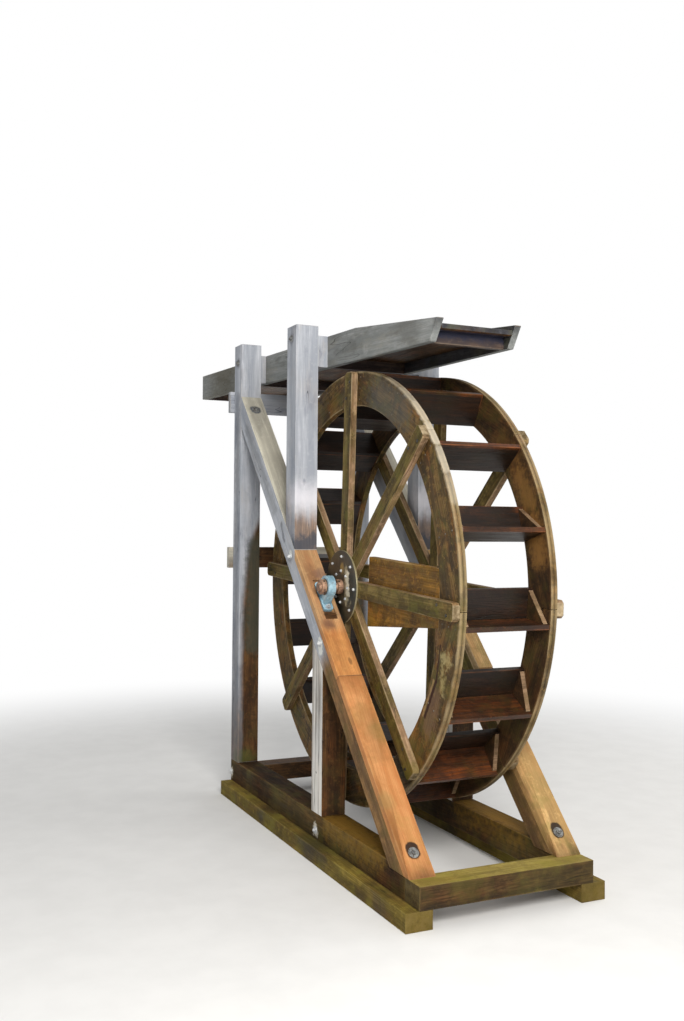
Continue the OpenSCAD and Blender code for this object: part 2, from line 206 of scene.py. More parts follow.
SOAKED = TimberFinish(
    light=(84, 84, 88), dark=(46, 46, 50), stain=(31, 30, 33), moss=(74, 76, 44), edge=(108, 104, 98),
    warm=(92, 72, 54), warmed=0.4, stained=0.5, mossy=0.35, worn=0.35, mottled=0.5, roughness=0.36)
RED_BROWN = TimberFinish(
    light=(84, 58, 33), dark=(40, 28, 18), stain=(26, 21, 16), moss=(70, 62, 26), edge=(118, 90, 56),
    warm=(106, 64, 33), warmed=0.4, stained=0.6, mossy=0.5, worn=0.4, mottled=0.5, roughness=0.75,
    gloss=0.1)
OLIVE_WET = TimberFinish(
    light=(104, 85, 42), dark=(56, 46, 24), stain=(38, 32, 20), moss=(84, 78, 32), edge=(138, 120, 76),
    warm=(114, 76, 38), warmed=0.4, stained=0.5, mossy=0.5, worn=0.4, mottled=0.5, roughness=0.58)
MOSSY = TimberFinish(
    light=(156, 134, 56), dark=(86, 72, 29), stain=(54, 46, 23), moss=(122, 112, 42), edge=(164, 148, 80),
    warm=(144, 104, 46), warmed=0.4, stained=0.45, mossy=0.6, mottled=0.5, roughness=0.8)
# Paler moss for the front cross sill's top: painted sunlight on its moss.
MOSSY_PALE = replace(
    MOSSY, light=(178, 160, 82), dark=(118, 102, 46), stain=(78, 66, 32), moss=(136, 126, 48),
    edge=(186, 170, 106), warm=(160, 122, 58))
FRESH_RED = TimberFinish(
    light=(214, 172, 122), dark=(158, 120, 84), stain=(110, 82, 60), edge=(214, 170, 126),
    warm=(196, 126, 80), warmed=0.5, stained=0.5, grain=0.4, checks=0.4, mottled=0.35, roughness=0.62)
# Brighter orange for the lower end of a near bearing plank: painted sunlight on the fresh timber.
FRESH_ORANGE = replace(
    FRESH_RED, light=(218, 156, 92), dark=(168, 110, 62), stain=(118, 80, 50), moss=(136, 118, 74),
    edge=(218, 164, 108), warm=(200, 116, 64), mossy=0.2, worn=0.35, mottled=0.4, roughness=0.6)
FRESH_TAN = replace(
    FRESH_RED, light=(216, 158, 102), dark=(180, 118, 68), stain=(142, 96, 54), moss=(158, 130, 68),
    edge=(222, 172, 118), warm=(204, 126, 74), mossy=0.3, worn=0.35, mottled=0.3, roughness=0.65)
# Aged tan of the far planks, lightened as painted light where they lie in shade.
AGED_TAN_WITH_PAINTED_LIGHT = TimberFinish(
    light=(232, 192, 130), dark=(166, 132, 82), stain=(98, 76, 48), moss=(124, 116, 58),
    edge=(204, 158, 108), warm=(178, 112, 66), warmed=0.4, stained=0.5, mossy=0.45, worn=0.4, checks=0.4,
    mottled=0.4, roughness=0.62)
WHEEL_BROWN = TimberFinish(
    light=(132, 103, 56), dark=(60, 46, 25), stain=(32, 27, 20), moss=(88, 84, 38), edge=(162, 143, 108),
    warm=(134, 82, 34), warmed=0.7, stained=0.85, mossy=0.5, worn=0.75, grain=0.5, ring_lines=0.15,
    checks=0.7, mottled=0.85, roughness=0.48, gloss=0.15)
WEB_BROWN = TimberFinish(
    light=(164, 118, 42), dark=(86, 60, 20), stain=(40, 31, 17), moss=(106, 92, 38), edge=(176, 150, 104),
    warm=(154, 94, 38), warmed=0.65, stained=0.7, mossy=0.5, worn=0.6, grain=0.5, ring_lines=0.2,
    checks=0.7, mottled=0.7, roughness=0.42, gloss=0.12)
SPOKE_OLIVE = TimberFinish(
    light=(138, 118, 66), dark=(66, 54, 27), stain=(36, 31, 21), moss=(96, 92, 38), edge=(168, 148, 112),
    warm=(118, 82, 38), warmed=0.5, stained=0.65, mossy=0.6, worn=0.55, grain=0.5, ring_lines=0.2,
    checks=0.8, mottled=0.6, roughness=0.5, gloss=0.1)
SPOKE_SIDE = TimberFinish(
    light=(190, 158, 128), dark=(118, 94, 68), stain=(56, 44, 32), moss=(106, 98, 54),
    edge=(190, 168, 136), warm=(146, 104, 66), warmed=0.4, stained=0.7, mossy=0.3, worn=0.5, checks=0.9,
    mottled=0.5, roughness=0.55)
GUSSET_BROWN = TimberFinish(
    light=(92, 64, 38), dark=(42, 30, 20), stain=(26, 20, 15), moss=(70, 62, 30), edge=(176, 152, 116),
    warm=(116, 70, 34), warmed=0.5, stained=0.6, mossy=0.3, worn=0.4, mottled=0.5, roughness=0.6)
# Near-black wet timber of the buckets, darkened partly as painted shade inside the buckets.
BUCKET_DARK = TimberFinish(
    light=(52, 34, 23), dark=(22, 16, 12), stain=(14, 12, 10), moss=(40, 36, 20), edge=(128, 76, 40),
    warm=(62, 36, 21), warmed=0.5, stained=0.5, mossy=0.25, worn=0.5, checks=0.3, mottled=0.4,
    roughness=0.4, gloss=0.35)
BUCKET_WET = TimberFinish(
    light=(104, 60, 32), dark=(44, 28, 18), stain=(24, 18, 14), moss=(70, 60, 28), edge=(160, 96, 52),
    warm=(142, 74, 32), warmed=0.6, stained=0.6, mossy=0.35, worn=0.5, checks=0.4, mottled=0.5,
    roughness=0.32)

ZINC = MetalFinish(
    light=(218, 220, 220), dark=(160, 164, 168), fleck=(124, 112, 98), flecked=0.25, metallic=0.35,
    roughness=0.5)
AGED_ZINC = MetalFinish(
    light=(156, 158, 156), dark=(96, 98, 98), fleck=(70, 56, 46), flecked=0.6, metallic=0.2,
    roughness=0.6, scale=90.0)
DULL_ZINC = MetalFinish(
    light=(128, 120, 106), dark=(78, 70, 60), fleck=(70, 52, 38), flecked=0.5, metallic=0.4,
    roughness=0.55)
RUST = MetalFinish(
    light=(176, 140, 114), dark=(110, 82, 64), fleck=(66, 48, 40), flecked=0.5, metallic=0.3,
    roughness=0.6, scale=45.0)
BLACK_STEEL = MetalFinish(
    light=(66, 60, 44), dark=(34, 32, 25), fleck=(104, 90, 60), metallic=0.15, roughness=0.42, scale=22.0)
BLUE_ENAMEL = MetalFinish(
    light=(164, 198, 212), dark=(116, 152, 170), fleck=(112, 96, 84), flecked=0.28, metallic=0.0,
    roughness=0.4, scale=50.0, coat=0.2)


class Grain(Enum):
    """Which way the fibres of a board run."""

    LEVEL = "the way the water runs"
    FLUME = "down the fall of the flume"
    CROSS = "along the axle"
    UPRIGHT = "up a post"
    SLOPE = "down the slope of a brace"
    WEB = "along the web plank"
    SPOKE = "out from the hub"
    SEGMENT = "square to the middle of a ring segment"
    BUCKET = "along the axle, board by board round the wheel"


LEANS = {Grain.LEVEL: 0.0, Grain.FLUME: math.radians(-1.6), Grain.UPRIGHT: math.pi / 2,
         Grain.SLOPE: -SLOPE, Grain.WEB: -REST}
TURNS = {Grain.SPOKE: (8, REST), Grain.SEGMENT: (8, REST + math.radians(22.5)),
         Grain.BUCKET: (16, REST)}


@dataclass(frozen=True)
class Mark:
    """A stain or a worn patch at one place.

    Lengths are in metres, and places are in the shared frame.

    Attributes:
        place: Its middle, or the start of a long mark.
        radius: How far it reaches.
        colour: Its screen colour.
        strength: How much of the colour shows in its core.
        core: Share of the radius in which it doesn't fade.
        ragged: How uneven its outline is, in radii.
        end: End of a long mark.
    """

    place: Vector
    radius: float
    colour: Screen
    strength: float = 0.8
    core: float = 0.3
    ragged: float = 0.9
    end: Optional[Vector] = None


class Graph:
    """The node tree of a material or world, with short calls for the nodes that a finish needs.

    A plain colour is given as three screen values or as four linear ones.
    """

    def __init__(self, owner: Union[bpy.types.Material, bpy.types.World]) -> None:
        """Starts an empty tree.

        Args:
            owner: The material or world that gets the tree.
        """
        self.owner = owner
        owner.use_nodes = True
        self.tree = owner.node_tree
        self.tree.nodes.clear()

    @cached_property
    def place(self) -> Socket:
        """The place of a point of the surface, in object coordinates."""
        return self.node("ShaderNodeTexCoord", {}).outputs["Object"]

    @cached_property
    def facing(self) -> tuple[Socket, Socket, Socket]:
        """The three parts of the direction that the surface faces."""
        return self.split(self.node("ShaderNodeTexCoord", {}).outputs["Normal"])

    def plug(self, socket: Socket, value: object) -> None:
        """Links a socket, or writes a plain value into it.

        Args:
            socket: The input to fill.
            value: A socket, a number, a vector or a colour.
        """
        if isinstance(value, Socket):
            self.tree.links.new(value, socket)
        elif isinstance(value, tuple) and len(value) == 3 and socket.type == "RGBA":
            socket.default_value = (*linear(value), 1.0)
        else:
            socket.default_value = value

    def node(self, kind: str, values: dict, **settings: object) -> bpy.types.Node:
        """Adds a node.

        Args:
            kind: Name of the node type.
            values: What goes into its inputs, by name or number.
            **settings: Options of the node.

        Returns:
            The new node.
        """
        made = self.tree.nodes.new(kind)
        for key, setting in settings.items():
            setattr(made, key, setting)
        for key, value in values.items():
            self.plug(made.inputs[key], value)
        return made

    def math(self, operation: str, a: Value, b: Value = 0.0, c: Value = 0.0) -> Socket:
        """Adds a math node and returns its result."""
        return self.node("ShaderNodeMath", {0: a, 1: b, 2: c}, operation=operation).outputs[0]

    def plus(self, a: Value, b: Value) -> Socket:
        """Adds two values."""
        return self.math("ADD", a, b)

    def minus(self, a: Value, b: Value) -> Socket:
        """Takes the second value from the first."""
        return self.math("SUBTRACT", a, b)

    def times(self, a: Value, b: Value) -> Socket:
        """Multiplies two values."""
        return self.math("MULTIPLY", a, b)

    def most(self, a: Value, b: Value) -> Socket:
        """Gives the larger of two values."""
        return self.math("MAXIMUM", a, b)

    def least(self, a: Value, b: Value) -> Socket:
        """Gives the smaller of two values."""
        return self.math("MINIMUM", a, b)

    def size(self, value: Value) -> Socket:
        """Gives a value without its sign."""
        return self.math("ABSOLUTE", value)

    def length(self, a: Value, b: Value) -> Socket:
        """Gives the length of the long side over two square ones."""
        return self.math("SQRT", self.plus(self.times(a, a), self.times(b, b)))

    def mixed(self, value: Value, weight: Value, start: Value) -> Socket:
        """Adds a weighted value to a start."""
        return self.math("MULTIPLY_ADD", value, weight, start)

    def total(self, *terms: tuple[Value, float]) -> Socket:
        """Adds up terms, each given with its weight.

        Args:
            *terms: The values with their weights.

        Returns:
            The sum.
        """
        result: Value = 0.0
        for value, weight in terms:
            result = self.mixed(value, weight, result)
        return result

    def vector(self, x: Value, y: Value, z: Value) -> Socket:
        """Joins three values into a vector."""
        return self.node("ShaderNodeCombineXYZ", {0: x, 1: y, 2: z}).outputs[0]

    def stretch(self, parts: tuple[Value, Value, Value], *scales: float) -> Socket:
        """Joins three values into a vector, each times its scale."""
        return self.vector(*(self.times(part, scale) for part, scale in zip(parts, scales)))

    def split(self, vector: Socket) -> tuple[Socket, Socket, Socket]:
        """Splits a vector into its three values."""
        parts = self.node("ShaderNodeSeparateXYZ", {0: vector}).outputs
        return parts[0], parts[1], parts[2]

    def blend(self, share: Value, a: Paint, b: Paint) -> Socket:
        """Blends two colours.

        Args:
            share: How much of the second colour shows.
            a: First colour.
            b: Second colour.

        Returns:
            The blended colour.
        """
        made = self.node("ShaderNodeMix", {}, data_type="RGBA")
        for number, value in ((0, share), (6, a), (7, b)):
            self.plug(made.inputs[number], value)
        return made.outputs[2]

    def fade(self, value: Value, start: Value, end: Value, low: float = 0.0, high: float = 1.0) -> Socket:
        """Runs smoothly from low to high as a value goes from start to end."""
        return self.node("ShaderNodeMapRange", {0: value, 1: start, 2: end, 3: low, 4: high},
                         interpolation_type="SMOOTHSTEP").outputs[0]

    def noise(self, vector: Socket, scale: float, detail: float = 3.0, roughness: float = 0.55,
              distortion: float = 0.0) -> Socket:
        """Adds a noise texture and returns its value."""
        values = {"Vector": vector, "Scale": scale, "Detail": detail, "Roughness": roughness,
                  "Distortion": distortion}
        return self.node("ShaderNodeTexNoise", values).outputs[0]

    def cells(self, vector: Socket) -> Socket:
        """Adds a cell texture and returns the distance to the nearest cell point."""
        return self.node("ShaderNodeTexVoronoi", {"Vector": vector, "Scale": 1.0}).outputs["Distance"]

    def patches(self, noise: tuple[float, ...], start: float, end: float, low: float = 0.0,
                high: float = 1.0) -> Socket:
        """Gives soft patches that are fixed in the shared frame.

        Args:
            noise: Scale, detail and, if it differs, roughness of the noise.
            start: Noise at which the patches start.
            end: Noise at which they are full.
            low: Value between the patches.
            high: Value in the patches.

        Returns:
            The value.
        """
        return self.fade(self.noise(self.place, *noise), start, end, low, high)

    def uneven(self, value: Value, scale: float, reach: float) -> Socket:
        """Adds noise to a value, so that a mask over it gets an uneven edge."""
        return self.mixed(self.noise(self.place, scale, 4.0), reach, value)

    def nearest(self, start: Vector, end: Vector) -> Socket:
        """Gives the point of a straight line that is nearest to each point of the surface.

        Args:
            start: Start of the line.
            end: End of the line.

        Returns:
            The nearest point.
        """
        run = end - start
        step = run / run.length_squared
        reach = self.node("ShaderNodeVectorMath", {0: self.place, 1: tuple(step)},
                          operation="DOT_PRODUCT").outputs["Value"]
        share = self.least(self.most(self.minus(reach, start.dot(step)), 0.0), 1.0)
        return self.node("ShaderNodeVectorMath", {0: tuple(run), 1: share, 2: tuple(start)},
                         operation="MULTIPLY_ADD").outputs[0]

    def marked(self, colour: Socket, marks: tuple[Mark, ...]) -> Socket:
        """Lays stains and worn patches over a colour.

        Args:
            colour: The colour so far.
            marks: The stains and patches.

        Returns:
            The colour with its marks.
        """
        for mark in marks:
            middle = tuple(mark.place) if mark.end is None else self.nearest(mark.place, mark.end)
            gap = self.node("ShaderNodeVectorMath", {0: self.place, 1: middle},
                            operation="DISTANCE").outputs["Value"]
            spread = self.minus(self.noise(self.place, 30.0, 6.0, 0.65), 0.5)
            ragged = self.mixed(spread, mark.radius * mark.ragged, gap)
            share = self.fade(ragged, mark.radius * mark.core, mark.radius, mark.strength, 0.0)
            colour = self.blend(share, colour, mark.colour)
        return colour

    def finish(self, colour: Paint, roughness: Value, height: Socket, depth: float,
               metallic: Value = 0.0, coat: float = 0.0, gloss: float = 0.5) -> bpy.types.Material:
        """Closes the tree of a material with its shader.

        Args:
            colour: Base colour.
            roughness: Roughness.
            height: Height of the surface relief.
            depth: Distance in metres that a height of 1 stands for.
            metallic: Share of metal.
            coat: Weight of a clear coat.
            gloss: Level of the mirror light of a plain surface.

        Returns:
            The finished material.
        """
        bump = self.node("ShaderNodeBump", {"Height": height, "Distance": depth, "Strength": 1.0})
        shader = self.node("ShaderNodeBsdfPrincipled", {
            "Base Color": colour, "Roughness": roughness, "Metallic": metallic, "Coat Weight": coat,
            "Specular IOR Level": gloss, "Normal": bump.outputs[0]})
        self.node("ShaderNodeOutputMaterial", {"Surface": shader.outputs[0]})
        return self.owner


@dataclass
class Axes:
    """Places on a board, measured along its fibres and from the middle of the axle.

    Attributes:
        along: Place along the fibres.
        across: Place across the fibres.
        depth: Place through the board.
        arris: The three places that the distance to the arrises is measured by.
        board: Number of the board, where a node holds several round the wheel.
        x: Distance forward of the axle.
        y: Place along the axle.
        z: Height over the axle.
    """

    along: Socket
    across: Socket
    depth: Socket
    arris: tuple[Socket, Socket, Socket]
    board: Value
    x: Socket
    y: Socket
    z: Socket


Mask = Callable[[Graph, Axes], Socket]


def patchy(noise: tuple[float, ...], *limits: float) -> Mask:
    """Makes a mask of soft patches from the values that Graph.patches takes."""
    return lambda graph, axes: graph.patches(noise, *limits)


def front_along(scale: float, reach: float, *limits: float) -> Mask:
    """Makes a mask with an uneven front across the fibres.

    Args:
        scale: Scale of the unevenness.
        reach: How far the front is moved by it.
        *limits: Places along the fibres where the mask starts and is full, and its values there.

    Returns:
        The mask.
    """
    return lambda graph, axes: graph.fade(graph.uneven(axes.along, scale, reach), *limits)


def fibre_axes(graph: Graph, grain: Grain) -> Axes:
    """Measures each point of a board along and across its fibres.

    Args:
        graph: Tree to build in.
        grain: Which way the fibres run.

    Returns:
        The places along, across and through the board.
    """
    x, y, z = graph.split(graph.place)
    dx, dz = graph.minus(x, AXLE_X), graph.minus(z, AXLE_Z)
    if grain is Grain.CROSS:
        return Axes(y, x, z, (y, x, z), 0.0, dx, y, dz)
    if grain in LEANS:
        lean = LEANS[grain]
        along = graph.total((dx, math.cos(lean)), (dz, math.sin(lean)))
        depth = graph.total((dx, -math.sin(lean)), (dz, math.cos(lean)))
        return Axes(along, y, depth, (along, y, depth), 0.0, dx, y, dz)
    count, start = TURNS[grain]
    pitch = math.tau / count
    angle = graph.math("ARCTAN2", dx, dz)
    turn = graph.math("ROUND", graph.total((angle, 1 / pitch), (-start / pitch, 1.0)))
    local = graph.total((angle, 1.0), (turn, -pitch), (-start, 1.0))
    radius = graph.length(dx, dz)
    out = graph.times(radius, graph.math("COSINE", local))
    side = graph.times(radius, graph.math("SINE", local))
    ways, arris = {Grain.SPOKE: ((out, side, y), (out, side, y)),
                   Grain.SEGMENT: ((side, out, y), (side, radius, y)),
                   Grain.BUCKET: ((y, out, side), (y, radius, side))}[grain]
    return Axes(*ways, arris, graph.math("FLOORED_MODULO", turn, float(count)), dx, y, dz)


def arris_ranges(node: Piece, grain: Grain) -> list[Pair]:
    """Finds how far a node reaches along each of its arris axes.

    Args:
        node: The node to measure.
        grain: Which way its fibres run.

    Returns:
        Lowest and highest value on each axis.
    """
    rows = []
    for vertex in node.data.vertices:
        x, y, z = node.matrix_world @ vertex.co
        dx, dz = x - AXLE_X, z - AXLE_Z
        if grain is Grain.CROSS:
            rows.append((y, x, z))
        elif grain in LEANS:
            lean = LEANS[grain]
            rows.append((dx * math.cos(lean) + dz * math.sin(lean), y,
                         dz * math.cos(lean) - dx * math.sin(lean)))
        else:
            count, start = TURNS[grain]
            angle = math.atan2(dx, dz)
            pitch = math.tau / count
            local = angle - round((angle - start) / pitch) * pitch - start
            radius = math.hypot(dx, dz)
            side, out = radius * math.sin(local), radius * math.cos(local)
            rows.append({Grain.SPOKE: (out, side, y), Grain.SEGMENT: (side, radius, y),
                         Grain.BUCKET: (y, radius, side)}[grain])
    return [(min(row[k] for row in rows), max(row[k] for row in rows)) for k in range(3)]


def outward(graph: Graph, axes: Axes) -> Socket:
    """Gives 1 on faces that look away from the middle of the axle, and -1 on those that look to it."""
    return graph.times(graph.facing[1], graph.math("SIGN", axes.y))


def put_on(piece: Piece, material: bpy.types.Material) -> None:
    """Puts a material in every slot of a piece.

    Args:
        piece: The piece.
        material: The material.
    """
    if not piece.material_slots:
        piece.data.materials.append(material)
    for slot in piece.material_slots:
        slot.material = material


def soften(node: Piece, width: float) -> None:
    """Joins a node's loose triangles and bevels its arrises with live modifiers.

    Args:
        node: The node.
        width: Width of the softened arrises.
    """
    weld = node.modifiers.new("join_corners", "WELD")
    weld.merge_threshold = 0.00002
    bevel = node.modifiers.new("soft_arris", "BEVEL")
    bevel.width = width
    bevel.segments = 2
    bevel.limit_method = "ANGLE"
    bevel.angle_limit = math.radians(35)


@dataclass
class TimberDresser:
    """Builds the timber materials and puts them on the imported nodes.

    Attributes:
        arris: Width of the softened arrises in metres.
        full_relief: Depth in metres of the relief of a finish with relief 1.
        rim: Radius at which the worn rim of a ring starts.
        made: Names of the nodes dressed so far. Their number shifts the patterns of the next one.
    """

    arris: float = 0.003
    full_relief: float = 0.0016
    rim: float = 1.194
    made: list[str] = field(default_factory=list)

    @staticmethod
    def tone(graph: Graph, finish: TimberFinish, parts: dict[str, Socket]) -> tuple[Socket, Socket]:
        """Colours a board in one finish.

        Args:
            graph: Tree to build in.
            finish: The finish.
            parts: The patterns that all finishes of the board share.

        Returns:
            The colour and the roughness.
        """
        crack = (*(0.35 * part for part in linear(finish.stain)), 1.0)
        colour = graph.blend(parts["streak"], finish.dark, finish.light)
        for name, strength, paint in (
                ("warm", finish.warmed, finish.warm), ("fine", finish.grain, finish.dark),
                ("rings", finish.ring_lines, finish.dark), ("blotch", finish.stained, finish.stain),
                ("mottle", finish.mottled, finish.dark), ("fleck", finish.mottled * 0.7, finish.light),
                ("moss", finish.mossy, finish.moss), ("edge", finish.worn, finish.edge),
                ("knot", finish.knots, finish.stain), ("check", finish.checks, crack)):
            if strength:
                colour = graph.blend(graph.times(parts[name], strength), colour, paint)
        return colour, graph.mixed(parts["fine"], 0.18, finish.roughness - 0.06)

    def ring_wear(self, graph: Graph, axes: Axes, own: Socket, edge: Socket,
                  crack: Socket) -> tuple[Socket, Socket]:
        """Wears the rim of a ring and draws the joint between its two layers.

        Args:
            graph: Tree to build in.
            axes: Places on the ring.
            own: Coordinates of its patterns.
            edge: Wear of its arrises.
            crack: Its drying cracks.

        Returns:
            The wear and the cracks with those of the rim.
        """
        radius = axes.arris[1]
        band = graph.mixed(graph.noise(own, 20.0, 4.0), 0.016, radius)
        off_seam = graph.size(graph.minus(graph.size(axes.y), RING_SEAM))
        crust = graph.times(graph.fade(off_seam, 0.004, 0.013, 0.45, 1.0),
                            graph.fade(graph.noise(own, 5.0, 5.0, 0.65), 0.34, 0.58, 0.2, 0.9))
        edge = graph.most(edge, graph.times(graph.fade(band, self.rim, self.rim + 0.009), crust))
        seam = graph.times(graph.fade(off_seam, 0.0007, 0.0026, 0.8, 0.0),
                           graph.fade(radius, self.rim - 0.004, self.rim + 0.004))
        inner = graph.fade(radius, self.rim - 0.009, self.rim + 0.001, 1.0, 0.0)
        return edge, graph.most(graph.times(crack, inner), seam)

    def patterns(self, graph: Graph, axes: Axes, grain: Grain, seed: float,
                 ranges: list[Pair]) -> dict[str, Socket]:
        """Builds the patterns that every finish of a board shares.

        Args:
            graph: Tree to build in.
            axes: Places along and across the fibres.
            grain: Which way the fibres run.
            seed: Number that makes this board differ from others.
            ranges: Reach of the board on its arris axes.

        Returns:
            The patterns by name.
        """
        shift = graph.mixed(axes.board, 3.71, seed * 1.37)
        long, wide, deep = (graph.plus(way, shift) for way in (axes.along, axes.across, axes.depth))
        own = graph.vector(long, wide, deep)
        sway = graph.noise(own, 1.6, 2.0)
        bent = graph.mixed(sway, 0.05, wide)
        straight, waved = (long, wide, deep), (long, bent, deep)
        knot_far = graph.cells(graph.stretch(straight, 2.3, 5.5, 5.5))
        knot = graph.fade(knot_far, 0.035, 0.075, 1.0, 0.0)
        pull = graph.fade(knot_far, 0.03, 0.28, 1.0, 0.0)
        streak = graph.fade(graph.noise(graph.stretch(waved, 1.1, 17.0, 17.0), 1.0, 5.0, 0.6), 0.32, 0.68)
        fine = graph.noise(graph.stretch(waved, 5.0, 190.0, 190.0), 1.0, 3.0, 0.6)
        warm = graph.noise(graph.stretch(straight, 1.4, 5.0, 5.0), 2.1, 5.0, 0.65)
        blotch = graph.noise(graph.stretch(straight, 1.0, 3.2, 3.2), 2.6, 5.0, 0.62)
        mottle = graph.fade(graph.noise(own, 11.0, 7.0, 0.7, 0.6), 0.47, 0.58)
        rings = self.growth_rings(graph, axes, seed, ranges, ((sway, 18.0), (pull, 9.0), (streak, 1.6)))
        crack_line = graph.noise(graph.stretch(waved, 1.2, 15.0, 15.0), 1.0, 2.0, 0.4)
        crack = graph.times(graph.fade(graph.size(graph.minus(crack_line, 0.52)), 0.0, 0.007, 1.0, 0.0),
                            graph.fade(graph.noise(own, 3.1, 2.0), 0.5, 0.62))
        gaps = [graph.least(graph.minus(place, low), graph.minus(high, place))
                for place, (low, high) in zip(axes.arris, ranges)]
        nearest = graph.most(graph.least(gaps[0], gaps[1]),
                             graph.least(graph.most(gaps[0], gaps[1]), gaps[2]))
        reach = graph.mixed(graph.noise(own, 14.0, 5.0), 0.013, 0.0005)
        edge = graph.times(graph.fade(graph.math("DIVIDE", nearest, reach), 0.3, 1.0, 1.0, 0.0),
                           graph.fade(graph.noise(own, 4.0, 4.0), 0.4, 0.6, 0.08, 0.9))
        if grain is Grain.SEGMENT:
            edge, crack = self.ring_wear(graph, axes, own, edge, crack)
        height = graph.total((fine, 0.35), (rings, -0.3), (streak, 0.35), (crack, -1.6), (knot, 0.4),
                             (mottle, -0.25))
        return {"streak": streak, "fine": graph.fade(fine, 0.36, 0.66), "rings": rings, "knot": knot,
                "blotch": graph.fade(blotch, 0.49, 0.66), "warm": graph.fade(warm, 0.46, 0.66),
                "moss": graph.fade(graph.noise(own, 7.0, 5.0, 0.65), 0.47, 0.66), "mottle": mottle,
                "fleck": graph.fade(graph.noise(own, 34.0, 6.0, 0.7), 0.54, 0.64), "check": crack,
                "edge": edge, "height": height}

    @staticmethod
    def growth_rings(graph: Graph, axes: Axes, seed: float, ranges: list[Pair],
                     bends: tuple[tuple[Socket, float], ...]) -> Socket:
        """Draws the growth rings, which run round a pith just outside the board.

        Args:
            graph: Tree to build in.
            axes: Places along and across the fibres.
            seed: Number that makes this board differ from others.
            ranges: Reach of the board on its arris axes.
            bends: Patterns that bend the rings, each with its weight.

        Returns:
            The strength of the dark lines.
        """
        off_across = sum(ranges[1]) / 2 + 0.05 * math.sin(seed * 2.3)
        off_depth = sum(ranges[2]) / 2 + 0.06 + 0.03 * math.cos(seed * 1.7)
        pith = graph.length(graph.mixed(axes.along, 0.035, graph.minus(axes.across, off_across)),
                            graph.mixed(axes.along, -0.02, graph.minus(axes.depth, off_depth)))
        return graph.fade(graph.math("SINE", graph.total((pith, 1000.0), *bends)), 0.1, 1.0)

    def dress(self, name: str, finish: TimberFinish, grain: Grain, damp: Optional[TimberFinish] = None,
              where: Optional[Mask] = None, marks: tuple[Mark, ...] = (), ends: Optional[Screen] = None,
              sunny: Optional[TimberFinish] = None) -> None:
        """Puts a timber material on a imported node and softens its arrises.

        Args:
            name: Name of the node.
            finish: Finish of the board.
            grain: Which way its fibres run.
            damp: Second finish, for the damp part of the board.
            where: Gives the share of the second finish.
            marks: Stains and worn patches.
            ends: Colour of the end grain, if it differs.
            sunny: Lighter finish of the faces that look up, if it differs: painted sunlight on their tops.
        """
        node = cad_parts[name]
        graph = Graph(bpy.data.materials.new(name + "_timber"))
        axes = fibre_axes(graph, grain)
        ranges = arris_ranges(node, grain)
        parts = self.patterns(graph, axes, grain, float(len(self.made) + 1), ranges)
        colour, roughness = self.tone(graph, finish, parts)
        if sunny is not None:
            colour = graph.blend(graph.fade(graph.facing[2], 0.4, 0.6), colour,
                                 self.tone(graph, sunny, parts)[0])
        if damp is not None and where is not None:
            share = where(graph, axes)
            other, other_rough = self.tone(graph, damp, parts)
            colour = graph.blend(share, colour, other)
            roughness = graph.plus(roughness, graph.times(graph.minus(other_rough, roughness), share))
        colour = graph.marked(colour, marks)
        if ends is not None:
            low, high = ranges[0]
            nearest = graph.least(graph.minus(axes.along, low), graph.minus(high, axes.along))
            colour = graph.blend(graph.fade(nearest, 0.001, 0.004, 0.75, 0.0), colour,
                                 graph.blend(parts["streak"], ends, finish.dark))
        put_on(node, graph.finish(colour, roughness, parts["height"], self.full_relief * finish.relief,
                                  gloss=finish.gloss))
        soften(node, self.arris)
        self.made.append(name)
        LOG.info("dressed %s", name)


def metal(name: str, finish: MetalFinish, turned: float = 0.0, marks: tuple[Mark, ...] = (),
          rim: float = 0.0) -> bpy.types.Material:
    """Builds a metal or paint material.

    Args:
        name: Name of the material.
        finish: The finish.
        turned: Strength of fine turned lines about the axle.
        marks: Stains and deposits.
        rim: Radius about the axle at which a pale worn rim starts, or zero for none.

    Returns:
        The material.
    """
    graph = Graph(bpy.data.materials.new(name))
    broad = graph.noise(graph.place, finish.scale * 0.35, 4.0, 0.6)
    small = graph.noise(graph.place, finish.scale * 4.0, 4.0, 0.6)
    spots = graph.patches((finish.scale, 6.0, 0.7), 0.66 - 0.3 * finish.flecked,
                          0.78 - 0.3 * finish.flecked)
    colour = graph.blend(graph.fade(broad, 0.35, 0.65), finish.dark, finish.light)
    colour = graph.blend(graph.times(spots, 0.85), colour, finish.fleck)
    height = graph.total((small, 0.3), (spots, -0.5))
    colour = graph.marked(colour, marks)
    if turned:
        x, _, z = graph.split(graph.place)
        radius = graph.length(graph.minus(x, AXLE_X), graph.minus(z, AXLE_Z))
        lines = graph.noise(graph.vector(radius, 0.0, 0.0), 420.0, 2.0)
        height = graph.total((height, 1.0), (lines, turned))
        if rim:
            colour = graph.blend(graph.fade(radius, rim, rim + 0.003, 0.0, 0.75), colour, (168, 158, 122))
    roughness = graph.total((broad, 0.16), (spots, 0.22), (finish.roughness - 0.1, 1.0))
    metallic = graph.times(graph.minus(1.0, graph.times(spots, 0.6)), finish.metallic)
    return graph.finish(colour, roughness, height, 0.0006, metallic, finish.coat)


@dataclass(frozen=True)
class Turned:
    """Sizes of a round or hexagonal part that stands upright.

    Attributes:
        name: Name of the part.
        sides: Number of its sides.
        radius: Its radius, over the corners.
        depth: Its height before the steps.
        steps: Width and height of each step in its top, from outside inwards.
        rounding: Width of its rounded edges.
        low: Height of its foot.
    """

    name: str
    sides: int
    radius: float
    depth: float
    steps: tuple[Pair, ...]
    rounding: float
    low: float = 0.0


